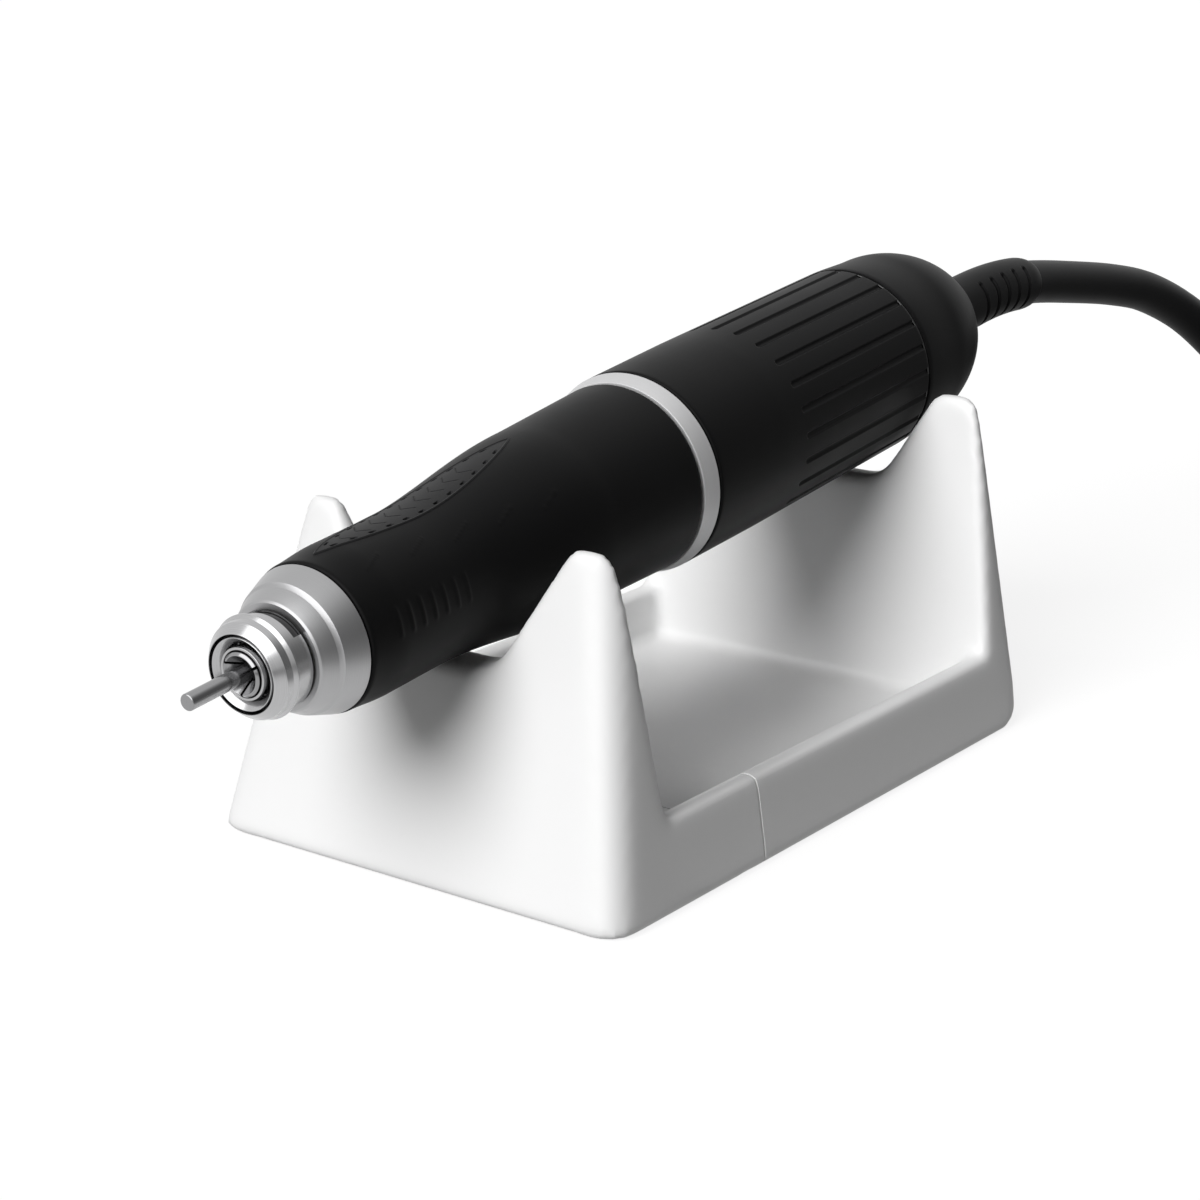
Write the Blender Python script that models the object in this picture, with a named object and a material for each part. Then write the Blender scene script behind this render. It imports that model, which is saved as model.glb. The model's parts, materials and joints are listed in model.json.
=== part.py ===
"""Dental micromotor handpiece lying in its bench cradle.

Metres, +Z up. The origin is on the table under the middle of the cradle and +X runs towards the
cord. Turned pieces are drawn as outlines of (distance behind the nose face, radius) and spun about
the handpiece axis, whose empty carries them. Angles round that axis count from its upper side
towards -Y.
"""

import bpy
import bmesh
import math
from mathutils import Matrix, Vector

MM = 0.001

# Clearances
SEAT_GAP = 0.3 * MM
RUNNING_GAP = 0.1 * MM
PIN_GAP = 0.035 * MM

# Facets round a turned piece
OUTER_FACETS = 36
MIDDLE_FACETS = 24
INNER_FACETS = 16
SMALL_FACETS = 10

# Cradle
CRADLE_BEHIND_GRIP = 20.2 * MM
CRADLE_PAST_SLEEVE = 2.98 * MM
CRADLE_BESIDE_SLEEVE = 20.15 * MM
CRADLE_SIDE_LEAN = 0.175
CRADLE_FRONT_LEAN = 0.1875
CRADLE_REAR_LEAN = 0.06
CRADLE_CORNER = 4.5 * MM
FRONT_EAR_HEIGHT = 51 * MM
REAR_EAR_HEIGHT = 54 * MM
FRONT_UPRIGHT_FOOT = 14.2 * MM
FRONT_UPRIGHT_LEAN = -0.098
REAR_UPRIGHT_FOOT = 13.6 * MM
REAR_UPRIGHT_LEAN = 0.14
RAIL_HEIGHT = 13.4 * MM
RAIL_WALL = 3.55 * MM
FLOOR_THICKNESS = 4.8 * MM
CRADLE_WALL = 2.5 * MM
HOLLOW_HEIGHT = 24 * MM
EAR_CORNER = 3.5 * MM
EAR_LIP = 2.5 * MM
NOTCH_FLANK = math.radians(29)
NOTCH_FILLET = 6 * MM
CRADLE_SEAM = -26.8 * MM
TONGUE_LENGTH = 9 * MM
TONGUE_WIDTH = 20 * MM
TONGUE_THICKNESS = 2.2 * MM

# Where the handpiece lies
AXIS_HEIGHT = 49.96 * MM
AXIS_TILT = math.radians(6.08)

# Outer shells, front to rear
NOSE_FACE_RADIUS = 5.6 * MM
NOSE_BEVEL_RADIUS = 7.26 * MM
NOSE_BEVEL_LENGTH = 3.1 * MM
NOSE_BAND_RADIUS = 6.7 * MM
NOSE_RING_LENGTH = 6.35 * MM
NOSE_MOUTH_RADIUS = 4.0 * MM
NOSE_DISH_DEPTH = 1.1 * MM
INSERT_LENGTH = 3.3 * MM
INSERT_WALL = 1.2 * MM
SPANNER_SLOT_WIDTH = 1.2 * MM
SPANNER_SLOT_DEPTH = 0.25 * MM
SPANNER_SLOT_START = math.radians(-27)
SPANNER_SLOT_END = math.radians(49)
CONE_FRONT_RADIUS = 7.72 * MM
CONE_STEP_RADIUS = 8.88 * MM
CONE_STEP_RISE = 0.36 * MM
CONE_STEP_PLACE = 2.6 * MM
CONE_REAR_RADIUS = 10.52 * MM
CONE_LENGTH = 6.8 * MM
GRIP_LENGTH = 71.6 * MM
GRIP_FRONT_RADIUS = 10.7 * MM
GRIP_WAIST_RADIUS = 11.18 * MM
GRIP_SHOULDER_RADIUS = 14.14 * MM
GRIP_REAR_RADIUS = 14.9 * MM
GRIP_CHAMFER = 0.5 * MM
MID_RING_LENGTH = 3.3 * MM
MID_RING_FRONT_RADIUS = 15.0 * MM
SLEEVE_FRONT_RADIUS = 15.71 * MM
SLEEVE_RADIUS = 15.95 * MM
SLEEVE_LENGTH = 62.4 * MM
SLEEVE_BORE = 13.7 * MM
GROOVE_COUNT = 24
GROOVE_PHASE = math.radians(11)
GROOVE_LENGTH = 38.5 * MM
GROOVE_WIDTH = 1.7 * MM
GROOVE_DEPTH = 0.5 * MM
WASHER_THICKNESS = 0.5 * MM
CAP_REAR_RADIUS = 15.5 * MM
CAP_STRAIGHT = 11.7 * MM
CAP_DOME_LENGTH = 21.6 * MM
CAP_DOME_POWER = 1.75
CAP_WALL = 2.4 * MM

# Top grip pad, an inlay in the sleeve
PAD_FRONT = 1.6 * MM
PAD_LENGTH = 50 * MM
PAD_HALF_WIDTH = 3.9 * MM
PAD_THICKNESS = 1.0 * MM
PAD_PROUD = 0.35 * MM
PAD_TURN = math.radians(-4)

# Inner tube that carries the front half
HOUSING_FRONT_RADIUS = 9.2 * MM
HOUSING_REAR_RADIUS = 12.0 * MM
HOUSING_BORE = 6.4 * MM
HOUSING_STEP_PLACE = 40.5 * MM
PUSHER_BORE = 10.7 * MM
CONE_SPIGOT_RADIUS = 8.3 * MM
CONE_SPIGOT_LENGTH = 8 * MM
CONE_NOSE_RADIUS = 5.95 * MM
CONE_NOSE_BORE = 4.6 * MM

# Spindle bearings, 7 x 14 x 5 mm
BEARING_BORE = 3.5 * MM
BEARING_OUTSIDE = 7.0 * MM
BEARING_WIDTH = 5.0 * MM
BEARING_RACE = 0.95 * MM
BALL_RADIUS = 0.9 * MM
BALL_COUNT = 6
FRONT_BEARING_PLACE = 2.35 * MM

# Spindle and collet
SPINDLE_FACE = 0.2 * MM
SPINDLE_NOSE_RADIUS = 3.65 * MM
SPINDLE_RIM = 0.35 * MM
SPINDLE_BODY_RADIUS = 5.6 * MM
SPINDLE_MIDDLE_RADIUS = 3.9 * MM
CHAMBER_RADIUS = 4.3 * MM
CHAMBER_START = 24 * MM
CHAMBER_LENGTH = 36 * MM
CHAMBER_WALL = 3 * MM
COLLET_OVERHANG = 0.5 * MM
COLLET_BODY_RADIUS = 1.9 * MM
COLLET_TAPER_LENGTH = 4.6 * MM
COLLET_LENGTH = 28 * MM
COLLET_SLIT = 0.4 * MM
COLLET_SLIT_LENGTH = 18 * MM
COLLET_DISH = 0.9 * MM
SHANK_DIAMETER = 2.35 * MM
SHANK_LENGTH = 33 * MM
SHANK_REACH = 10.2 * MM
SHANK_CHAMFER = 0.25 * MM
COLLET_TRAVEL = 0.8 * MM
DRAWBAR_RADIUS = 1.6 * MM
DRAWBAR_HEAD_RADIUS = 2.9 * MM
DRAWBAR_HEAD_LENGTH = 6 * MM
DRAWBAR_SOCKET = 2.6 * MM
NUT_THICKNESS = 3.6 * MM
SPRING_WIRE = 0.35 * MM
SPRING_TURNS = 5
TAIL_RADIUS = 3.0 * MM
TAIL_THREAD_LENGTH = 8 * MM
COLLAR_RADIUS = 6.2 * MM
COLLAR_LENGTH = 3.0 * MM
COLLAR_PLACE = 4.6 * MM
CROSS_PIN_RADIUS = 0.75 * MM
CLAMP_RING_LENGTH = 2.0 * MM
WAVE_HEIGHT = 0.35 * MM

# Chuck release
TWIST_RANGE = math.radians(40)
CAM_LENGTH = 10 * MM
CAM_RADIUS = 13.4 * MM
PUSHER_LENGTH = 11 * MM
PUSHER_FLANGE = 2.0 * MM
PUSHER_HOLE = 3.9 * MM
PUSHER_WALL = 3.3 * MM
RELEASE_PIN_RADIUS = 1.0 * MM
RELEASE_PIN_PLACE = 3.8 * MM

# Coupling
TONGUE_THICK = 2.4 * MM
TONGUE_DEEP = 2.0 * MM
DISC_RADIUS = 5.4 * MM
DISC_LENGTH = 5.2 * MM
HUB_RADIUS = 4.2 * MM
HUB_LENGTH = 4.4 * MM

# Motor
MOTOR_TUBE_RADIUS = 13.4 * MM
MOTOR_TUBE_BORE = 12.3 * MM
MOTOR_TUBE_LENGTH = 57 * MM
MOTOR_TUBE_LAP = 4 * MM
SHAFT_RADIUS = 2.2 * MM
SHAFT_LENGTH = 54 * MM
BELL_LENGTH = 5.9 * MM
MOTOR_BEARING_OUTSIDE = 5.5 * MM
MOTOR_BEARING_WIDTH = 4.0 * MM
MOTOR_BALL_RADIUS = 0.8 * MM
MOTOR_RACE = 0.75 * MM
MAGNET_RADIUS = 6.0 * MM
MAGNET_LENGTH = 24 * MM
STATOR_WALL = 2.5 * MM
STATOR_LENGTH = 26 * MM
WINDING_RADIUS = 6.5 * MM
WINDING_LENGTH = 29 * MM
BOARD_THICKNESS = 1.4 * MM
BOARD_HOLE = 2.8 * MM

# Strain relief and cord
BOOT_RADIUS = 5.1 * MM
BOOT_END_RADIUS = 4.8 * MM
BOOT_TIP_RADIUS = 4.15 * MM
BOOT_TIP_LENGTH = 3.5 * MM
BOOT_FLANGE_RADIUS = 7.4 * MM
BOOT_FLANGE_LENGTH = 3 * MM
BOOT_ROOT = 9 * MM
BOOT_LENGTH = 32 * MM
BOOT_STRAIGHT = 12 * MM
BOOT_BEND = math.radians(11.1)
BOOT_SLOTS = 5
BOOT_SLOT_PITCH = 4.05 * MM
BOOT_SLOT_WIDTH = 1.1 * MM
BOOT_SLOT_DEPTH = 0.8 * MM
BOOT_LAST_SLOT = 6.1 * MM
CORD_RADIUS = 4.0 * MM
CORD_HEADING = math.radians(31)
COIL_CENTRE = Vector((0.3083, -0.0137, 0.0))
COIL_RADIUS = 41.5 * MM
COIL_TURNS_WIDE = 2
COIL_TURNS_HIGH = 3
PLUG_RADIUS = 7.5 * MM
PLUG_LENGTH = 30 * MM
PLUG_SHELL_RADIUS = 6.6 * MM
PLUG_SHELL_LENGTH = 13 * MM
PLUG_SHELL_WALL = 0.9 * MM
PLUG_CORE_LENGTH = 8 * MM
CONTACT_RADIUS = 0.5 * MM
CONTACT_LENGTH = 4 * MM
CONTACT_CIRCLE = 3.2 * MM
CONTACT_COUNT = 6
PLUG_ACROSS = 39.5 * MM
PLUG_SET_BACK = 2 * MM
TAIL_BEND = 37.5 * MM

# Places along the handpiece axis, behind the nose face
CONE_START = NOSE_RING_LENGTH + SEAT_GAP
GRIP_START = CONE_START + CONE_LENGTH + SEAT_GAP
MID_RING_START = GRIP_START + GRIP_LENGTH + SEAT_GAP
SLEEVE_START = MID_RING_START + MID_RING_LENGTH + SEAT_GAP
SLEEVE_END = SLEEVE_START + SLEEVE_LENGTH
WASHER_START = SLEEVE_END + RUNNING_GAP
CAP_START = WASHER_START + WASHER_THICKNESS + RUNNING_GAP
FRONT_BEARING = CONE_START + FRONT_BEARING_PLACE
CAM_START = SLEEVE_START + SEAT_GAP
CAM_END = CAM_START + CAM_LENGTH
RELEASE_PIN = CAM_START + RELEASE_PIN_PLACE
PUSHER_END = RELEASE_PIN + 2 * RELEASE_PIN_RADIUS
PUSHER_START = PUSHER_END - PUSHER_LENGTH
COLLAR_END = PUSHER_START - SEAT_GAP
COLLAR_START = COLLAR_END - COLLAR_LENGTH
CROSS_PIN = (COLLAR_START + COLLAR_END) / 2
REAR_CLAMP_END = COLLAR_START - COLLET_TRAVEL - 2 * SEAT_GAP
REAR_CLAMP_START = REAR_CLAMP_END - CLAMP_RING_LENGTH
REAR_BEARING = REAR_CLAMP_START - SEAT_GAP - BEARING_WIDTH
CHAMBER_END = CHAMBER_START + CHAMBER_LENGTH
DISC_START = PUSHER_START + COLLAR_PLACE
DISC_END = DISC_START + DISC_LENGTH
HUB_START = DISC_END + SEAT_GAP
SHAFT_START = HUB_START + SEAT_GAP
MOTOR_TUBE_START = CAM_END + SEAT_GAP
HOUSING_END = MOTOR_TUBE_START + MOTOR_TUBE_LAP
MOTOR_TUBE_END = MOTOR_TUBE_START + MOTOR_TUBE_LENGTH
FRONT_BELL = HOUSING_END + SEAT_GAP
MOTOR_MIDDLE = FRONT_BELL + BELL_LENGTH + 2 * SEAT_GAP + WINDING_LENGTH / 2
REAR_BELL = MOTOR_MIDDLE + WINDING_LENGTH / 2 + 2 * SEAT_GAP
BOARD_START = REAR_BELL + BELL_LENGTH + 2 * SEAT_GAP
CAP_DOME_START = CAP_START + CAP_STRAIGHT

# The cradle spans from behind the grip's front to just past the sleeve
CRADLE_FRONT = GRIP_START + CRADLE_BEHIND_GRIP
CRADLE_LENGTH = (SLEEVE_END + CRADLE_PAST_SLEEVE - CRADLE_FRONT) * math.cos(AXIS_TILT)
CRADLE_WIDTH = 2 * (SLEEVE_RADIUS + CRADLE_BESIDE_SLEEVE)
NOSE_REACH = CRADLE_FRONT + CRADLE_LENGTH / 2 / math.cos(AXIS_TILT)


def clear_scene():
    for old in list(bpy.data.objects):
        bpy.data.objects.remove(old, do_unlink=True)


def finish(name, colour, roughness, metallic=0.0):
    """A Principled material of one plain colour."""
    material = bpy.data.materials.new(name)
    material.use_nodes = True
    shader = material.node_tree.nodes["Principled BSDF"]
    shader.inputs["Base Color"].default_value = (*colour, 1.0)
    shader.inputs["Roughness"].default_value = roughness
    shader.inputs["Metallic"].default_value = metallic
    return material


def add_object(name, bm, material=None, parent=None):
    """A smooth-shaded object from a bmesh; without a material it is a cutter."""
    bmesh.ops.recalc_face_normals(bm, faces=bm.faces)
    mesh = bpy.data.meshes.new(name)
    bm.to_mesh(mesh)
    bm.free()
    mesh.shade_smooth()
    mesh.set_sharp_from_angle(angle=math.radians(35))
    part = bpy.data.objects.new(name, mesh)
    bpy.context.collection.objects.link(part)
    part.parent = parent
    if material:
        mesh.materials.append(material)
    else:
        part.hide_render = True
        part.display_type = "WIRE"
    return part


def turned(name, outline, material=None, parent=None, facets=INNER_FACETS):
    """Spin a closed outline of (distance, radius) round the parent's own Z axis."""
    bm = bmesh.new()
    corners = [bm.verts.new((radius, 0, along)) for along, radius in outline]
    edges = [bm.edges.new(pair) for pair in zip(corners, corners[1:])]
    if outline[0][1] > 0 or outline[-1][1] > 0:
        edges.append(bm.edges.new((corners[-1], corners[0])))
    bmesh.ops.spin(
        bm, geom=corners + edges, cent=(0, 0, 0), axis=(0, 0, 1), dvec=(0, 0, 0),
        angle=2 * math.pi, steps=facets, use_merge=True, use_duplicate=False,
    )
    bmesh.ops.remove_doubles(bm, verts=bm.verts, dist=0.001 * MM)
    return add_object(name, bm, material, parent)


def tube(start, end, bore, outside):
    """Outline of a plain tube."""
    return [(start, bore), (start, outside), (end, outside), (end, bore)]


def skin(bm, rings, close_loops=True, close_path=False):
    """Join rings of vertices into a surface; caps the ends unless the path closes."""
    count = len(rings[0])
    pairs = list(zip(rings, rings[1:] + rings[:1] if close_path else rings[1:]))
    for ring, following in pairs:
        for i in range(count if close_loops else count - 1):
            j = (i + 1) % count
            bm.faces.new((ring[i], ring[j], following[j], following[i]))
    if not close_path:
        bm.faces.new(rings[0][::-1])
        bm.faces.new(rings[-1])


def prism(name, corners, low, high, direction, material=None):
    """Extrude a closed outline along X (corners are (y, z)) or along Y (corners are (x, z))."""
    bm = bmesh.new()
    rings = []
    for place in (low, high):
        if direction == "X":
            rings.append([bm.verts.new((place, a, b)) for a, b in corners])
        else:
            rings.append([bm.verts.new((a, place, b)) for a, b in corners])
    skin(bm, rings)
    return add_object(name, bm, material)


def block(name, low, high, material=None, parent=None):
    """An upright box between two opposite corners."""
    low, high = Vector(low), Vector(high)
    bm = bmesh.new()
    bmesh.ops.create_cube(bm, size=1)
    bmesh.ops.scale(bm, vec=high - low, verts=bm.verts)
    bmesh.ops.translate(bm, vec=(low + high) / 2, verts=bm.verts)
    return add_object(name, bm, material, parent)


def crossbar(name, along, turn, reach_in, reach_out, radius, material=None, parent=None):
    """A round bar across the handpiece axis, from one radius to another at an angle."""
    bm = bmesh.new()
    bmesh.ops.create_cone(
        bm, cap_ends=True, segments=SMALL_FACETS, radius1=radius, radius2=radius,
        depth=reach_out - reach_in,
    )
    lie = Matrix.Translation((0, 0, along)) @ Matrix.Rotation(turn, 4, "Z")
    lie = lie @ Matrix.Translation(((reach_in + reach_out) / 2, 0, 0)) @ Matrix.Rotation(math.pi / 2, 4, "Y")
    bmesh.ops.transform(bm, matrix=lie, verts=bm.verts)
    return add_object(name, bm, material, parent)


def helical_slot(name, along, rise, width, reach_in, reach_out, start, end, parent, steps=4):
    """A cutter that sweeps an angle round the axis while it moves along it by a rise."""
    bm = bmesh.new()
    rings = []
    for i in range(steps + 1):
        share = i / steps
        turn = start + (end - start) * share
        middle = along + rise * share
        ring = []
        for radius, side in ((reach_in, -1), (reach_out, -1), (reach_out, 1), (reach_in, 1)):
            place = middle + side * width / 2
            ring.append(bm.verts.new((radius * math.cos(turn), radius * math.sin(turn), place)))
        rings.append(ring)
    skin(bm, rings)
    return add_object(name, bm, None, parent)


def combine(target, tools, operation="DIFFERENCE"):
    """Cut or join the tools into the target, leaving each tool as a hidden guide."""
    for tool in tools:
        step = target.modifiers.new(f"{operation.lower()}_{tool.name}", "BOOLEAN")
        step.operation = operation
        step.solver = "EXACT"
        step.object = tool
        tool.hide_render = True
        tool.display_type = "WIRE"


def arc(centre, radius, start, end, steps):
    """Points round a circle in a plane, both ends included."""
    turns = [start + (end - start) * i / steps for i in range(steps + 1)]
    return [(centre[0] + radius * math.cos(a), centre[1] + radius * math.sin(a)) for a in turns]


def smooth(share):
    """0 to 1 with level ends."""
    return share * share * (3 - 2 * share)


# Shape of the handpiece

def grip_radius(along):
    """Outer radius of the grip: a slim waist at the front that swells over the housing."""
    share = (along - GRIP_START) / GRIP_LENGTH
    if share < 0.1:
        return GRIP_FRONT_RADIUS + (GRIP_WAIST_RADIUS - GRIP_FRONT_RADIUS) * smooth(share / 0.1)
    if share < 0.26:
        return GRIP_WAIST_RADIUS
    if share < 0.72:
        rise = (share - 0.26) / 0.46
        return GRIP_WAIST_RADIUS + (GRIP_SHOULDER_RADIUS - GRIP_WAIST_RADIUS) * smooth(rise)
    rise = (share - 0.72) / 0.28
    return GRIP_SHOULDER_RADIUS + (GRIP_REAR_RADIUS - GRIP_SHOULDER_RADIUS) * rise


def body_radius(along):
    """Outer radius of the handpiece anywhere between the nose and the cap."""
    if along < GRIP_START:
        return CONE_REAR_RADIUS
    if along < MID_RING_START:
        return grip_radius(along)
    if along < CAP_START:
        return SLEEVE_RADIUS
    return cap_radius(along)


def cap_radius(along):
    """Outer radius of the rear cap: a slow taper and then a blunt dome."""
    if along < CAP_DOME_START:
        share = (along - CAP_START) / CAP_STRAIGHT
        return SLEEVE_RADIUS + (CAP_REAR_RADIUS - SLEEVE_RADIUS) * smooth(share)
    share = min(1.0, (along - CAP_DOME_START) / CAP_DOME_LENGTH)
    return CAP_REAR_RADIUS * (1 - share ** CAP_DOME_POWER) ** (1 / CAP_DOME_POWER)


def cap_place(radius):
    """Distance behind the nose face at which the dome has a given radius."""
    share = (1 - (radius / CAP_REAR_RADIUS) ** CAP_DOME_POWER) ** (1 / CAP_DOME_POWER)
    return CAP_DOME_START + CAP_DOME_LENGTH * share


CAP_END = cap_place(BOOT_RADIUS + SEAT_GAP)
ALONG_X = math.cos(AXIS_TILT)
ALONG_Z = math.sin(AXIS_TILT)
NOSE_X = -NOSE_REACH * ALONG_X
NOSE_Z = AXIS_HEIGHT - NOSE_REACH * ALONG_Z


def axis_height(x):
    return AXIS_HEIGHT + x * math.tan(AXIS_TILT)


def underside(x):
    """Height of the handpiece's lowest line over a place on the table."""
    return axis_height(x) - body_radius((x - NOSE_X) / ALONG_X) / ALONG_X


# Cradle

def cradle_front(z):
    return -CRADLE_LENGTH / 2 + CRADLE_FRONT_LEAN * z


def cradle_rear(z):
    return CRADLE_LENGTH / 2 - CRADLE_REAR_LEAN * z


def cradle_side(z):
    return CRADLE_WIDTH / 2 - CRADLE_SIDE_LEAN * z


def front_upright(z):
    """Inner face of the front upright."""
    return -CRADLE_LENGTH / 2 + FRONT_UPRIGHT_FOOT + FRONT_UPRIGHT_LEAN * (z - RAIL_HEIGHT) + 1.3 * MM


def rear_upright(z):
    """Inner face of the rear upright."""
    return CRADLE_LENGTH / 2 - REAR_UPRIGHT_FOOT + REAR_UPRIGHT_LEAN * z


def cradle_envelope(name, material):
    """Tapered block with rounded upright corners, which the uprights and rails are cut from."""
    bm = bmesh.new()
    rings = []
    for z in (0.0, max(FRONT_EAR_HEIGHT, REAR_EAR_HEIGHT) + EAR_CORNER):
        x0, x1, y1 = cradle_front(z), cradle_rear(z), cradle_side(z)
        ring = []
        corners = ((x1, y1, 0), (x0, y1, 90), (x0, -y1, 180), (x1, -y1, 270))
        for x, y, first in corners:
            centre = (x - math.copysign(CRADLE_CORNER, x), y - math.copysign(CRADLE_CORNER, y))
            ring += arc(centre, CRADLE_CORNER, math.radians(first), math.radians(first + 90), 5)
        rings.append([bm.verts.new((x, y, z)) for x, y in ring])
    skin(bm, rings)
    return add_object(name, bm, material)


def ear_outline(ear_height, floor):
    """Everything above a pair of ears and the notch between them, as a (y, z) outline."""
    flank = math.tan(NOTCH_FLANK)
    rest = SLEEVE_RADIUS + SEAT_GAP
    notch = rest * (1 - math.sin(NOTCH_FLANK)) / math.cos(NOTCH_FLANK) + 0.2 * MM
    setback = NOTCH_FILLET / math.tan(math.pi / 4 + NOTCH_FLANK / 2)
    fillet = (notch - setback, floor + NOTCH_FILLET)
    half = arc(fillet, NOTCH_FILLET, -math.pi / 2, -NOTCH_FLANK, 4)
    lip_z = ear_height - EAR_LIP
    lip_y = notch + (lip_z - floor) * flank + EAR_LIP / math.cos(NOTCH_FLANK)
    half += arc((lip_y, lip_z), EAR_LIP, math.pi - NOTCH_FLANK, math.pi / 2, 4)
    lean = math.atan(CRADLE_SIDE_LEAN)
    corner_z = ear_height - EAR_CORNER
    corner_y = cradle_side(corner_z) - EAR_CORNER / math.cos(lean)
    half += arc((corner_y, corner_z), EAR_CORNER, math.pi / 2, lean, 4)
    clear = CRADLE_WIDTH
    half += [(clear, half[-1][1]), (clear, ear_height + CRADLE_WIDTH)]
    return [(-y, z) for y, z in reversed(half)] + half


def notch_floor(face, inner, ear_height):
    """Height of a notch that leaves the seat gap under the handpiece all through an upright."""
    places = [face(0) + (inner(ear_height) - face(0)) * i / 12 for i in range(13)]
    places += [face(ear_height), inner(0), face(0)]
    return min(underside(x) for x in places) - SEAT_GAP


def build_cradle(plastic):
    """Two mouldings that meet at a seam in the side rails and lock with a tongue."""
    high = 2 * REAR_EAR_HEIGHT
    wide = CRADLE_WIDTH
    well = prism("well_cutter", [
        (front_upright(RAIL_HEIGHT), RAIL_HEIGHT), (rear_upright(RAIL_HEIGHT), RAIL_HEIGHT),
        (rear_upright(high), high), (front_upright(high), high),
    ], -wide, wide, "Y")
    over = RAIL_HEIGHT + 1 * MM
    inside = cradle_side(RAIL_HEIGHT) - RAIL_WALL
    tray = prism("tray_cutter", [
        (front_upright(FLOOR_THICKNESS), FLOOR_THICKNESS),
        (rear_upright(FLOOR_THICKNESS), FLOOR_THICKNESS),
        (rear_upright(over), over), (front_upright(over), over),
    ], -inside, inside, "Y")
    reach = cradle_side(HOLLOW_HEIGHT) - CRADLE_WALL
    under = -1 * MM
    hollow_front = prism("front_hollow", [
        (cradle_front(under) + CRADLE_WALL, under), (front_upright(under) - CRADLE_WALL, under),
        (front_upright(HOLLOW_HEIGHT) - CRADLE_WALL, HOLLOW_HEIGHT),
        (cradle_front(HOLLOW_HEIGHT) + CRADLE_WALL, HOLLOW_HEIGHT),
    ], -reach, reach, "Y")
    hollow_rear = prism("rear_hollow", [
        (rear_upright(under) + CRADLE_WALL, under), (cradle_rear(under) - CRADLE_WALL, under),
        (cradle_rear(HOLLOW_HEIGHT) - CRADLE_WALL, HOLLOW_HEIGHT),
        (rear_upright(HOLLOW_HEIGHT) + CRADLE_WALL, HOLLOW_HEIGHT),
    ], -reach, reach, "Y")
    front_floor = notch_floor(cradle_front, front_upright, FRONT_EAR_HEIGHT)
    rear_floor = notch_floor(rear_upright, cradle_rear, REAR_EAR_HEIGHT)
    middle = CRADLE_SEAM
    ears_front = prism("front_ears_cutter", ear_outline(FRONT_EAR_HEIGHT, front_floor),
                       -CRADLE_LENGTH, middle, "X")
    ears_rear = prism("rear_ears_cutter", ear_outline(REAR_EAR_HEIGHT, rear_floor),
                      middle, CRADLE_LENGTH, "X")
    behind = block("behind_seam", (CRADLE_SEAM - SEAT_GAP / 2, -wide, -high), (CRADLE_LENGTH, wide, high))
    ahead = block("ahead_of_seam", (-CRADLE_LENGTH, -wide, -high), (CRADLE_SEAM + SEAT_GAP / 2, wide, high))
    tongue_z = FLOOR_THICKNESS / 2
    tongue = block(
        "seam_tongue",
        (CRADLE_SEAM - 1 * MM, -TONGUE_WIDTH / 2, tongue_z - TONGUE_THICKNESS / 2),
        (CRADLE_SEAM + TONGUE_LENGTH, TONGUE_WIDTH / 2, tongue_z + TONGUE_THICKNESS / 2),
    )
    slot = block(
        "tongue_slot",
        (CRADLE_SEAM - SEAT_GAP, -TONGUE_WIDTH / 2 - SEAT_GAP, tongue_z - TONGUE_THICKNESS / 2 - SEAT_GAP),
        (CRADLE_SEAM + TONGUE_LENGTH + SEAT_GAP, TONGUE_WIDTH / 2 + SEAT_GAP,
         tongue_z + TONGUE_THICKNESS / 2 + SEAT_GAP),
    )
    front = cradle_envelope("cradle_front", plastic)
    combine(front, [behind, well, tray, hollow_front, ears_front])
    combine(front, [tongue], "UNION")
    rear = cradle_envelope("cradle_rear", plastic)
    combine(rear, [ahead, well, tray, hollow_rear, ears_rear, slot])


# Nose

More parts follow.
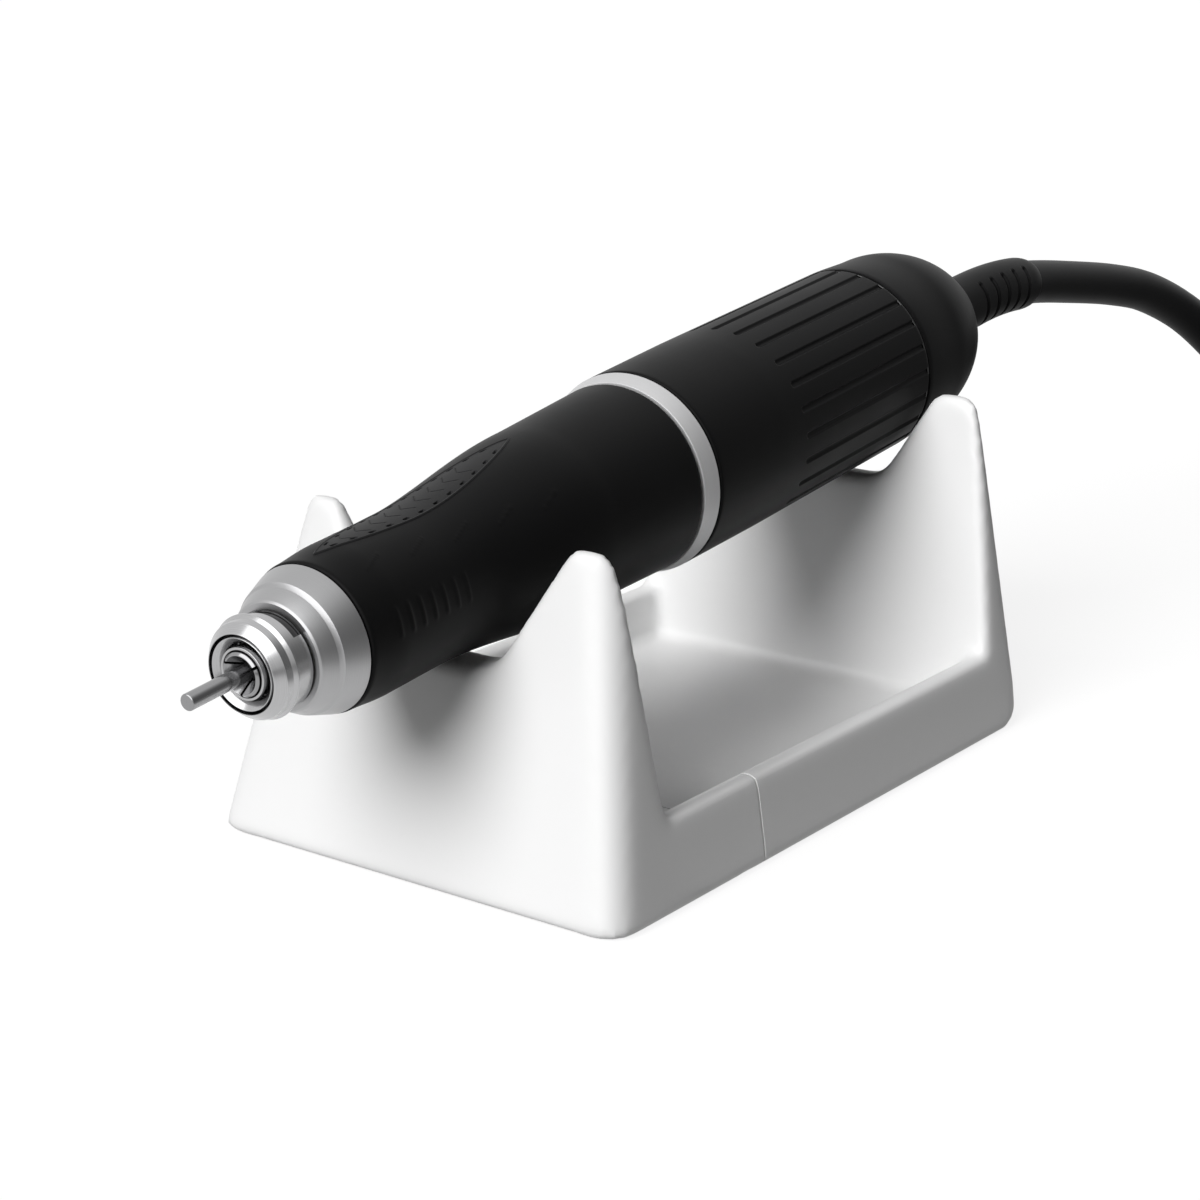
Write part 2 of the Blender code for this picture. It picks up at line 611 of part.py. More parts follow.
def build_nose(steel, aluminium, axis):
    """Screwed nose ring with its insert, and the cone that carries the front bearing."""
    insert_radius = NOSE_MOUTH_RADIUS + INSERT_WALL
    turned("nose_insert", [
        (0, insert_radius - 0.45 * MM), (0, insert_radius), (INSERT_LENGTH, insert_radius),
        (INSERT_LENGTH, NOSE_MOUTH_RADIUS), (NOSE_DISH_DEPTH, NOSE_MOUTH_RADIUS),
    ], steel, axis, MIDDLE_FACETS)
    ring_bore = insert_radius + SEAT_GAP
    seat = INSERT_LENGTH + SEAT_GAP
    ring_socket = CONE_NOSE_RADIUS + SEAT_GAP
    bevel = []
    for i in range(5):
        turn = math.radians(90) * i / 4
        bevel.append((
            NOSE_BEVEL_LENGTH * (1 - math.cos(turn)),
            NOSE_FACE_RADIUS + (NOSE_BEVEL_RADIUS - NOSE_FACE_RADIUS) * math.sin(turn),
        ))
    ring = turned("nose_ring", bevel + [
        (NOSE_BEVEL_LENGTH + SEAT_GAP, NOSE_BAND_RADIUS), (NOSE_RING_LENGTH, NOSE_BAND_RADIUS),
        (NOSE_RING_LENGTH, ring_socket), (seat, ring_socket), (seat, ring_bore), (0, ring_bore),
    ], steel, axis, MIDDLE_FACETS)
    slots = []
    for side in (0, math.pi):
        slots.append(helical_slot(
            f"spanner_slot_{len(slots) + 1}", NOSE_RING_LENGTH - SPANNER_SLOT_WIDTH / 2, 0,
            SPANNER_SLOT_WIDTH + SEAT_GAP, NOSE_BAND_RADIUS - SPANNER_SLOT_DEPTH, 2 * NOSE_BAND_RADIUS,
            SPANNER_SLOT_START + side, SPANNER_SLOT_END + side, axis,
        ))
    combine(ring, slots)

    step = CONE_START + CONE_STEP_PLACE
    bearing_seat = BEARING_OUTSIDE + SEAT_GAP
    turned("nose_cone", [
        (seat + SEAT_GAP, CONE_NOSE_BORE), (seat + SEAT_GAP, CONE_NOSE_RADIUS),
        (CONE_START, CONE_NOSE_RADIUS), (CONE_START, CONE_FRONT_RADIUS), (step, CONE_STEP_RADIUS),
        (step + CONE_STEP_RISE, CONE_STEP_RADIUS + CONE_STEP_RISE),
        (CONE_START + CONE_LENGTH, CONE_REAR_RADIUS),
        (CONE_START + CONE_LENGTH, CONE_SPIGOT_RADIUS),
        (CONE_START + CONE_LENGTH + CONE_SPIGOT_LENGTH, CONE_SPIGOT_RADIUS),
        (CONE_START + CONE_LENGTH + CONE_SPIGOT_LENGTH, bearing_seat),
        (FRONT_BEARING - SEAT_GAP, bearing_seat), (FRONT_BEARING - SEAT_GAP, CONE_NOSE_BORE),
    ], aluminium, axis, MIDDLE_FACETS)


def build_housing(aluminium, axis):
    """Stepped inner tube under the grip, with two guide slots for the release pins."""
    step = GRIP_START + HOUSING_STEP_PLACE + SEAT_GAP
    socket_end = CONE_START + CONE_LENGTH + CONE_SPIGOT_LENGTH + SEAT_GAP
    rear_seat = REAR_BEARING - SEAT_GAP
    clamp_seat = REAR_CLAMP_START - SEAT_GAP
    housing = turned("spindle_housing", [
        (GRIP_START, CONE_SPIGOT_RADIUS + SEAT_GAP), (GRIP_START, HOUSING_FRONT_RADIUS),
        (step, HOUSING_FRONT_RADIUS), (step, HOUSING_REAR_RADIUS), (HOUSING_END, HOUSING_REAR_RADIUS),
        (HOUSING_END, PUSHER_BORE), (clamp_seat, PUSHER_BORE),
        (clamp_seat, BEARING_OUTSIDE + SEAT_GAP), (rear_seat, BEARING_OUTSIDE + SEAT_GAP),
        (rear_seat, HOUSING_BORE), (socket_end, HOUSING_BORE),
        (socket_end, CONE_SPIGOT_RADIUS + SEAT_GAP),
    ], aluminium, axis, MIDDLE_FACETS)
    reach = RELEASE_PIN_RADIUS + SEAT_GAP
    slots = []
    for side in (-1, 1):
        slots.append(block(
            f"guide_slot_{len(slots) + 1}",
            (min(side * PUSHER_BORE, side * HOUSING_REAR_RADIUS) - 1 * MM, -reach,
             RELEASE_PIN - COLLET_TRAVEL - reach),
            (max(side * PUSHER_BORE, side * HOUSING_REAR_RADIUS) + 1 * MM, reach, RELEASE_PIN + reach),
            None, axis,
        ))
    combine(housing, slots)


# Grip

def pad_half_width(share):
    """Half width of the pad along its length: blunt in front, drawn out to a point behind."""
    front = (1 - (1 - min(1, share / 0.42)) ** 2.2) ** 0.5
    rear = 1 - smooth(max(0, (share - 0.42) / 0.58)) ** 1.15
    return max(0.5 * MM, PAD_HALF_WIDTH * front * rear)


def pad_solid(name, grow, depth, proud, material, axis):
    """Leaf-shaped plate that follows the grip, between a depth under it and a height over it."""
    rows, across = 12, 4
    bm = bmesh.new()
    rings = []
    for i in range(rows + 1):
        share = i / rows
        along = GRIP_START + PAD_FRONT - grow + (PAD_LENGTH + 2 * grow) * share
        surface = grip_radius(along)
        half = (pad_half_width(share) + grow) / surface
        turns = [PAD_TURN - half + 2 * half * j / across for j in range(across + 1)]
        ring = [(surface + proud, turn) for turn in turns]
        ring += [(surface - depth, turn) for turn in reversed(turns)]
        rings.append([
            bm.verts.new((radius * math.cos(turn), radius * math.sin(turn), along))
            for radius, turn in ring
        ])
    skin(bm, rings)
    return add_object(name, bm, material, axis)


def build_grip(rubber, pad_rubber, axis):
    """Soft grip sleeve with a pocket for the top pad."""
    end = GRIP_START + GRIP_LENGTH
    step = GRIP_START + HOUSING_STEP_PLACE
    outline = [(GRIP_START, GRIP_FRONT_RADIUS - GRIP_CHAMFER)]
    outline.append((GRIP_START + GRIP_CHAMFER, grip_radius(GRIP_START + GRIP_CHAMFER)))
    rows = 7
    for i in range(1, rows):
        along = GRIP_START + GRIP_LENGTH * i / rows
        outline.append((along, grip_radius(along)))
    outline += [(end - GRIP_CHAMFER, grip_radius(end)), (end, GRIP_REAR_RADIUS - GRIP_CHAMFER)]
    outline += [
        (end, HOUSING_REAR_RADIUS + SEAT_GAP), (step, HOUSING_REAR_RADIUS + SEAT_GAP),
        (step, HOUSING_FRONT_RADIUS + SEAT_GAP), (GRIP_START, HOUSING_FRONT_RADIUS + SEAT_GAP),
    ]
    sleeve = turned("grip_sleeve", outline, rubber, axis, OUTER_FACETS)
    under = PAD_THICKNESS - PAD_PROUD
    pocket = pad_solid("pad_pocket", SEAT_GAP, under + SEAT_GAP, 1 * MM, None, axis)
    combine(sleeve, [pocket])
    pad_solid("grip_pad", 0, under, PAD_PROUD, pad_rubber, axis)


# Rear half

def build_mid_ring(aluminium, axis):
    """Bright index ring between the grip and the chuck sleeve."""
    end = MID_RING_START + MID_RING_LENGTH
    turned("mid_ring", [
        (MID_RING_START, MID_RING_FRONT_RADIUS), (end - 0.4 * MM, SLEEVE_FRONT_RADIUS),
        (end, SLEEVE_FRONT_RADIUS - 0.3 * MM), (end, HOUSING_REAR_RADIUS + SEAT_GAP),
        (MID_RING_START, HOUSING_REAR_RADIUS + SEAT_GAP),
    ], aluminium, axis, OUTER_FACETS)


def groove_cutters(axis):
    """Finger grooves that start round and run out through the sleeve's rear end."""
    rise = (GROOVE_WIDTH ** 2 / 4 - GROOVE_DEPTH ** 2) / (2 * GROOVE_DEPTH)
    radius = rise + GROOVE_DEPTH
    centre = SLEEVE_RADIUS + rise
    start = SLEEVE_END - GROOVE_LENGTH
    sides = 8
    for i in range(GROOVE_COUNT):
        turn = GROOVE_PHASE + 2 * math.pi * i / GROOVE_COUNT
        bm = bmesh.new()
        rings = []
        for along, share in ((start, 0.3), (start + 0.9 * MM, 1.0), (SLEEVE_END + 1 * MM, 1.0)):
            lift = centre + (1 - share) * GROOVE_DEPTH
            ring = [(lift + radius * math.cos(a), radius * share * math.sin(a), along)
                    for a in (2 * math.pi * k / sides for k in range(sides))]
            rings.append([bm.verts.new(Matrix.Rotation(turn, 4, "Z") @ Vector(p)) for p in ring])
        skin(bm, rings)
        yield add_object(f"groove_cutter_{i + 1}", bm, None, axis)


def build_twist_sleeve(rubber, steel, axis):
    """Grooved chuck sleeve, the cam ring inside it and the thrust washer behind it."""
    sleeve = turned("twist_sleeve", [
        (SLEEVE_START, SLEEVE_FRONT_RADIUS - 0.4 * MM), (SLEEVE_START + 0.5 * MM, SLEEVE_FRONT_RADIUS),
        (SLEEVE_START + 0.3 * SLEEVE_LENGTH, SLEEVE_RADIUS), (SLEEVE_END, SLEEVE_RADIUS),
        (SLEEVE_END, SLEEVE_BORE), (SLEEVE_START, SLEEVE_BORE),
    ], rubber, axis, OUTER_FACETS)
    combine(sleeve, list(groove_cutters(axis)))
    cam = turned("cam_ring", tube(CAM_START, CAM_END, HOUSING_REAR_RADIUS + RUNNING_GAP, CAM_RADIUS),
                 steel, axis, OUTER_FACETS)
    width = 2 * (RELEASE_PIN_RADIUS + SEAT_GAP)
    spare = (RELEASE_PIN_RADIUS + SEAT_GAP) / HOUSING_REAR_RADIUS
    slope = COLLET_TRAVEL / TWIST_RANGE
    slots = []
    for side in (0, math.pi):
        slots.append(helical_slot(
            f"cam_slot_{len(slots) + 1}", RELEASE_PIN + slope * spare,
            -slope * (TWIST_RANGE + 2 * spare), width,
            HOUSING_REAR_RADIUS - 1 * MM, CAM_RADIUS + 1 * MM,
            side + spare, side - TWIST_RANGE - spare, axis,
        ))
    combine(cam, slots)
    turned("sleeve_washer", tube(
        WASHER_START, WASHER_START + WASHER_THICKNESS,
        MOTOR_TUBE_RADIUS + SEAT_GAP, SLEEVE_RADIUS - GROOVE_DEPTH / 2,
    ), steel, axis, OUTER_FACETS)


def build_cap(rubber, axis):
    """Domed rear cap, a shell that screws over the end of the motor tube."""
    rows = 5
    outline = [(CAP_START, SLEEVE_RADIUS), (CAP_DOME_START, CAP_REAR_RADIUS)]
    edge = (CAP_END - CAP_DOME_START) / CAP_DOME_LENGTH
    for i in range(1, rows + 1):
        share = edge * math.sin(math.pi / 2 * i / rows)
        along = CAP_DOME_START + CAP_DOME_LENGTH * share
        outline.append((along, cap_radius(along)))
    flange_seat = cap_inner_end()
    outline.append((flange_seat, BOOT_RADIUS + SEAT_GAP))
    outline.append((flange_seat, BOOT_FLANGE_RADIUS + SEAT_GAP))
    stop = MOTOR_TUBE_END + SEAT_GAP
    outline.append((stop + 3 * MM, MOTOR_TUBE_BORE))
    outline.append((stop, MOTOR_TUBE_BORE))
    outline.append((stop, MOTOR_TUBE_RADIUS + SEAT_GAP))
    outline.append((CAP_START, MOTOR_TUBE_RADIUS + SEAT_GAP))
    turned("rear_cap", outline, rubber, axis, OUTER_FACETS)


def cap_inner_end():
    """Inner face of the dome, which the strain relief's flange bears on."""
    return cap_place(BOOT_FLANGE_RADIUS + SEAT_GAP + CAP_WALL)


# Spindle, collet and chuck spring

def build_bearing(prefix, start, bore, race, outside, width, ball, steel, cage_metal, axis):
    """Deep-groove ball bearing: two grooved rings and a cage with its balls."""
    middle, end = start + width / 2, start + width
    groove = ball * 0.35
    turned(f"{prefix}_bearing_inner", [
        (start, bore), (start, bore + race), (middle, bore + race - groove), (end, bore + race),
        (end, bore),
    ], steel, axis)
    turned(f"{prefix}_bearing_outer", [
        (start, outside), (start, outside - race), (middle, outside - race + groove),
        (end, outside - race), (end, outside),
    ], steel, axis)
    ball_cage(f"{prefix}_ball_cage", middle, (bore + outside) / 2, ball, cage_metal, axis)


def ball_cage(name, middle, pitch, ball, material, axis):
    """Ring of balls strung on their cage, swept round the bearing's pitch circle."""
    sides = 6
    shoulder = 0.75 * ball / pitch
    stations = []
    for i in range(BALL_COUNT):
        centre = 2 * math.pi * i / BALL_COUNT
        stations += [(centre - shoulder, 0.66), (centre, 1.0), (centre + shoulder, 0.66)]
        stations.append((centre + math.pi / BALL_COUNT, 0.28))
    bm = bmesh.new()
    rings = []
    for turn, share in stations:
        ring = []
        for k in range(sides):
            round_wire = 2 * math.pi * k / sides
            radius = pitch + ball * share * math.cos(round_wire)
            along = middle + ball * share * math.sin(round_wire)
            ring.append(bm.verts.new((radius * math.cos(turn), radius * math.sin(turn), along)))
        rings.append(ring)
    skin(bm, rings, close_path=True)
    add_object(name, bm, material, axis)


def build_spindle(steel, axis):
    """Hollow spindle with its taper mouth and spring chamber, and the tail screwed in behind."""
    journal = BEARING_BORE - SEAT_GAP
    bore = COLLET_BODY_RADIUS + SEAT_GAP
    mouth = SPINDLE_NOSE_RADIUS - SPINDLE_RIM
    shoulder = FRONT_BEARING - SEAT_GAP
    journal_end = FRONT_BEARING + BEARING_WIDTH + SEAT_GAP
    chamber_front = CHAMBER_START - CHAMBER_WALL
    turned("spindle", [
        (SPINDLE_FACE, mouth), (SPINDLE_FACE, SPINDLE_NOSE_RADIUS), (shoulder, SPINDLE_NOSE_RADIUS),
        (shoulder, journal), (journal_end, journal), (journal_end, SPINDLE_MIDDLE_RADIUS),
        (chamber_front, SPINDLE_MIDDLE_RADIUS), (chamber_front, SPINDLE_BODY_RADIUS),
        (CHAMBER_END, SPINDLE_BODY_RADIUS), (CHAMBER_END, CHAMBER_RADIUS),
        (CHAMBER_START, CHAMBER_RADIUS), (CHAMBER_START, bore),
        (SPINDLE_FACE + COLLET_TAPER_LENGTH, bore),
    ], steel, axis)
    tail_bore = DRAWBAR_RADIUS + SEAT_GAP
    thread_start = CHAMBER_END - TAIL_THREAD_LENGTH
    rear_shoulder = REAR_BEARING - SEAT_GAP
    tail_end = DISC_START - SEAT_GAP
    tail = turned("spindle_tail", [
        (thread_start, tail_bore), (thread_start, CHAMBER_RADIUS - SEAT_GAP),
        (CHAMBER_END + SEAT_GAP, CHAMBER_RADIUS - SEAT_GAP), (CHAMBER_END + SEAT_GAP, SPINDLE_BODY_RADIUS),
        (rear_shoulder - 1 * MM, SPINDLE_BODY_RADIUS), (rear_shoulder, SPINDLE_MIDDLE_RADIUS),
        (rear_shoulder, journal), (REAR_CLAMP_START, journal), (REAR_CLAMP_START, TAIL_RADIUS),
        (tail_end, TAIL_RADIUS), (tail_end, tail_bore),
    ], steel, axis)
    reach = CROSS_PIN_RADIUS + SEAT_GAP
    slot = block("tail_slot", (-2 * TAIL_RADIUS, -reach, CROSS_PIN - COLLET_TRAVEL - reach),
                 (2 * TAIL_RADIUS, reach, CROSS_PIN + reach), None, axis)
    combine(tail, [slot])
    tongue_root = tail_end - 1 * MM
    tongue = block("tail_tongue", (-TAIL_RADIUS * 0.95, -TONGUE_THICK / 2, tongue_root),
                   (TAIL_RADIUS * 0.95, TONGUE_THICK / 2, DISC_START + TONGUE_DEEP), None, axis)
    combine(tail, [tongue], "UNION")


def build_collet(steel, brass, axis):
    """Three-jaw collet, its drawbar with the spring nut, and the collar with its cross pin."""
    face = SPINDLE_FACE - COLLET_OVERHANG
    shank = SHANK_DIAMETER / 2
    bore = shank + PIN_GAP
    head = SPINDLE_NOSE_RADIUS - SPINDLE_RIM - SEAT_GAP / 1.5
    taper_end = face + COLLET_TAPER_LENGTH
    collet_end = face + COLLET_LENGTH
    collet = turned("collet", [
        (face, head * 0.9), (face + COLLET_OVERHANG, head), (taper_end, COLLET_BODY_RADIUS),
        (collet_end, COLLET_BODY_RADIUS), (collet_end, bore), (face + COLLET_DISH, bore),
        (face, bore + COLLET_DISH),
    ], steel, axis)
    slits = []
    for i in range(3):
        slit = block(f"collet_slit_{i + 1}", (0, -COLLET_SLIT / 2, face - 1 * MM),
                     (2 * head, COLLET_SLIT / 2, face + COLLET_SLIT_LENGTH), None, axis)
        slit.rotation_euler = (0, 0, math.radians(30 + 120 * i))
        slits.append(slit)
    combine(collet, slits)
    turned("mandrel", [
        (-SHANK_REACH, 0), (-SHANK_REACH, shank - SHANK_CHAMFER), (-SHANK_REACH + SHANK_CHAMFER, shank),
        (SHANK_LENGTH - SHANK_REACH, shank), (SHANK_LENGTH - SHANK_REACH, 0),
    ], steel, axis)

    socket = COLLET_BODY_RADIUS + SEAT_GAP
    head_start = collet_end - DRAWBAR_SOCKET
    head_end = head_start + DRAWBAR_HEAD_LENGTH
    bar_end = DISC_START - 3 * SEAT_GAP - TONGUE_DEEP / 2
    drawbar = turned("drawbar", [
        (collet_end + SEAT_GAP, 0), (collet_end + SEAT_GAP, socket), (head_start, socket),
        (head_start, DRAWBAR_HEAD_RADIUS), (head_end, DRAWBAR_HEAD_RADIUS), (head_end, DRAWBAR_RADIUS),
        (bar_end, DRAWBAR_RADIUS), (bar_end, 0),
    ], steel, axis)
    nut_end = CHAMBER_END - TAIL_THREAD_LENGTH - SEAT_GAP
    nut_start = nut_end - NUT_THICKNESS
    turned("spring_nut", tube(nut_start, nut_end, DRAWBAR_RADIUS + SEAT_GAP, CHAMBER_RADIUS - SEAT_GAP),
           brass, axis)
    spring = DRAWBAR_HEAD_RADIUS + SEAT_GAP + SPRING_WIRE
    coil_spring("chuck_spring", CHAMBER_START + SEAT_GAP, nut_start - COLLET_TRAVEL - SEAT_GAP,
                spring, SPRING_WIRE, steel, axis)

    collar = turned("release_collar", tube(
        COLLAR_START, COLLAR_END, TAIL_RADIUS + SEAT_GAP, COLLAR_RADIUS), steel, axis)
    pin_reach = COLLAR_RADIUS - SEAT_GAP
    crossbar("cross_pin", CROSS_PIN, 0, -pin_reach, pin_reach, CROSS_PIN_RADIUS, steel, axis)
    hole = crossbar("cross_pin_hole", CROSS_PIN, 0, -2 * COLLAR_RADIUS, 2 * COLLAR_RADIUS,
                    CROSS_PIN_RADIUS + RUNNING_GAP, None, axis)
    combine(collar, [hole])
    combine(drawbar, [hole])


def coil_spring(name, start, end, radius, wire, material, axis):
    """Helical spring of round wire between two places on the axis."""
    steps, sides = 9 * SPRING_TURNS, 5
    first, last = start + wire, end - wire
    bm = bmesh.new()
    rings = []
    for i in range(steps + 1):
        turn = 2 * math.pi * SPRING_TURNS * i / steps
        along = first + (last - first) * i / steps
        ring = [(radius + wire * math.cos(a), wire * math.sin(a) + along)
                for a in (2 * math.pi * k / sides for k in range(sides))]
        rings.append([bm.verts.new((r * math.cos(turn), r * math.sin(turn), z)) for r, z in ring])
    skin(bm, rings)
    return add_object(name, bm, material, axis)


def wave_washer(name, start, bore, outside, material, axis):
    """Thin spring washer with three waves, between a bearing and its clamp ring."""
    bm = bmesh.new()
    thick = 0.25 * MM
    rings = []
    for i in range(INNER_FACETS):
        turn = 2 * math.pi * i / INNER_FACETS
        lift = start + WAVE_HEIGHT / 2 * (1 + math.cos(3 * turn))
        ring = ((bore, lift), (outside, lift), (outside, lift + thick), (bore, lift + thick))
        rings.append([bm.verts.new((r * math.cos(turn), r * math.sin(turn), z)) for r, z in ring])
    skin(bm, rings, close_path=True)
    add_object(name, bm, material, axis)
    return start + WAVE_HEIGHT + thick


def build_clamps(steel, axis):
    """Preload washer and the two threaded rings that hold the spindle bearings in."""
    ring_bore = BEARING_OUTSIDE - BEARING_RACE
    washer = FRONT_BEARING + BEARING_WIDTH + RUNNING_GAP
    end = wave_washer("preload_washer", washer, ring_bore, BEARING_OUTSIDE, steel, axis)
    turned("front_bearing_clamp", tube(
        end + RUNNING_GAP, end + RUNNING_GAP + CLAMP_RING_LENGTH, ring_bore, BEARING_OUTSIDE),
        steel, axis)
    turned("rear_bearing_clamp", tube(
        REAR_CLAMP_START, REAR_CLAMP_END, ring_bore, PUSHER_BORE - SEAT_GAP),
        steel, axis, MIDDLE_FACETS)


def build_release(steel, brass, axis):
    """Sliding pusher and its two pins, which the cam ring drives forward."""
    outside = PUSHER_BORE - RUNNING_GAP
    flange_end = PUSHER_START + PUSHER_FLANGE
    pusher = turned("collet_pusher", [
        (PUSHER_START, PUSHER_HOLE), (PUSHER_START, outside), (PUSHER_END, outside),
        (PUSHER_END, outside - PUSHER_WALL), (flange_end, outside - PUSHER_WALL),
        (flange_end, PUSHER_HOLE),
    ], brass, axis, MIDDLE_FACETS)
    inner, outer = outside - PUSHER_WALL + SEAT_GAP, CAM_RADIUS - SEAT_GAP
    for name, turn in (("release_pin_top", 0), ("release_pin_bottom", math.pi)):
        crossbar(name, RELEASE_PIN, turn, inner, outer, RELEASE_PIN_RADIUS, steel, axis)
    holes = crossbar("release_pin_holes", RELEASE_PIN, 0, -2 * CAM_RADIUS, 2 * CAM_RADIUS,
                     RELEASE_PIN_RADIUS + RUNNING_GAP, None, axis)
    combine(pusher, [holes])


# Motor

def build_coupling(nylon, steel, axis):
    """Sliding disc coupling: tongues at right angles on the spindle tail and the motor hub."""
    disc = turned("coupling_disc", [
        (DISC_START, 0), (DISC_START, DISC_RADIUS), (DISC_END, DISC_RADIUS), (DISC_END, 0),
    ], nylon, axis)
    half = TONGUE_THICK / 2 + RUNNING_GAP
    wide = 2 * DISC_RADIUS
    deep = TONGUE_DEEP + SEAT_GAP
    front_slot = block("disc_slot_front", (-wide, -half, DISC_START - 1 * MM),
                       (wide, half, DISC_START + deep), None, axis)
    rear_slot = block("disc_slot_rear", (-half, -wide, DISC_END - deep),
                      (half, wide, DISC_END + 1 * MM), None, axis)
    combine(disc, [front_slot, rear_slot])
    bore = SHAFT_RADIUS + SEAT_GAP
    hub = turned("motor_hub", [
        (HUB_START, 0), (HUB_START, HUB_RADIUS), (HUB_START + HUB_LENGTH, HUB_RADIUS),
        (HUB_START + HUB_LENGTH, bore), (HUB_START + 1 * MM, bore), (HUB_START + 1 * MM, 0),
    ], steel, axis)
    tongue = block("hub_tongue", (-TONGUE_THICK / 2, -HUB_RADIUS * 0.95, DISC_END - TONGUE_DEEP),
                   (TONGUE_THICK / 2, HUB_RADIUS * 0.95, HUB_START + 0.5 * MM), None, axis)
    combine(hub, [tongue], "UNION")


def end_bell(name, start, facing, metal, axis):
    """Bearing plate of the motor; facing 1 has its bearing seat in front, -1 behind."""
    seat = MOTOR_BEARING_OUTSIDE + SEAT_GAP
    deep = MOTOR_BEARING_WIDTH + SEAT_GAP
    lip = seat - 2 * SEAT_GAP - MOTOR_RACE
    outside = MOTOR_TUBE_BORE - SEAT_GAP
    outline = [(0, seat), (0, outside), (BELL_LENGTH, outside), (BELL_LENGTH, lip), (deep, lip), (deep, seat)]
    if facing > 0:
        places = [(start + along, radius) for along, radius in outline]
    else:
        places = [(start + BELL_LENGTH - along, radius) for along, radius in outline]
    turned(name, places, metal, axis, MIDDLE_FACETS)


def build_motor(metals, axis):
    """Brushless motor in its tube: rotor, stator, slotless winding, end bells and sensor board."""
    aluminium, steel, magnet, lamination, copper, board_green, cage_metal = metals
    turned("motor_housing", tube(MOTOR_TUBE_START, MOTOR_TUBE_END, MOTOR_TUBE_BORE, MOTOR_TUBE_RADIUS),
           aluminium, axis, OUTER_FACETS)
    shaft_start = HUB_START + 1 * MM + SEAT_GAP
    shaft_end = shaft_start + SHAFT_LENGTH
    turned("motor_shaft", [
        (shaft_start, 0), (shaft_start, SHAFT_RADIUS), (shaft_end, SHAFT_RADIUS), (shaft_end, 0),
    ], steel, axis)
    middle = MOTOR_MIDDLE
    turned("rotor_magnet", tube(
        middle - MAGNET_LENGTH / 2, middle + MAGNET_LENGTH / 2, SHAFT_RADIUS + SEAT_GAP, MAGNET_RADIUS),
        magnet, axis)
    stator_outside = MOTOR_TUBE_BORE - SEAT_GAP
    stator_bore = stator_outside - STATOR_WALL
    turned("stator_core", tube(
        middle - STATOR_LENGTH / 2, middle + STATOR_LENGTH / 2, stator_bore, stator_outside),
        lamination, axis, MIDDLE_FACETS)
    turned("stator_winding", tube(
        middle - WINDING_LENGTH / 2, middle + WINDING_LENGTH / 2, WINDING_RADIUS, stator_bore - SEAT_GAP),
        copper, axis, MIDDLE_FACETS)
    end_bell("front_end_bell", FRONT_BELL, 1, aluminium, axis)
    end_bell("rear_end_bell", REAR_BELL, -1, aluminium, axis)
    rear_seat = REAR_BELL + BELL_LENGTH - MOTOR_BEARING_WIDTH
    for prefix, start in (("motor_front", FRONT_BELL), ("motor_rear", rear_seat)):
        build_bearing(prefix, start, SHAFT_RADIUS + SEAT_GAP, MOTOR_RACE, MOTOR_BEARING_OUTSIDE,
                      MOTOR_BEARING_WIDTH, MOTOR_BALL_RADIUS, steel, cage_metal, axis)
    board = turned("sensor_board", tube(
        BOARD_START, BOARD_START + BOARD_THICKNESS, BOARD_HOLE, MOTOR_TUBE_BORE - SEAT_GAP),
        board_green, axis, MIDDLE_FACETS)
    chips = []
    for i in range(3):
        chip = block(f"sensor_chip_{i + 1}", (7 * MM, -1.5 * MM, BOARD_START + BOARD_THICKNESS / 2),
                     (10 * MM, 1.5 * MM, BOARD_START + BOARD_THICKNESS + 0.9 * MM), None, axis)
        chip.rotation_euler = (0, 0, math.radians(120 * i))
        chips.append(chip)
    combine(board, chips, "UNION")


# Strain relief and cord

def boot_path(distance):
    """Point and direction on the strain relief's centre line, straight at first and then bent."""
    start = Vector((NOSE_X + CAP_END * ALONG_X, 0, NOSE_Z + CAP_END * ALONG_Z))
    radius = (BOOT_LENGTH - BOOT_STRAIGHT) / BOOT_BEND
    straight = min(distance, BOOT_STRAIGHT)
    heading = AXIS_TILT - max(distance - BOOT_STRAIGHT, 0) / radius
    place = start + Vector((ALONG_X, 0, ALONG_Z)) * straight + Vector((
        radius * (math.sin(AXIS_TILT) - math.sin(heading)), 0,
        radius * (math.cos(heading) - math.cos(AXIS_TILT)),
    ))
    return place, Vector((math.cos(heading), 0, math.sin(heading)))


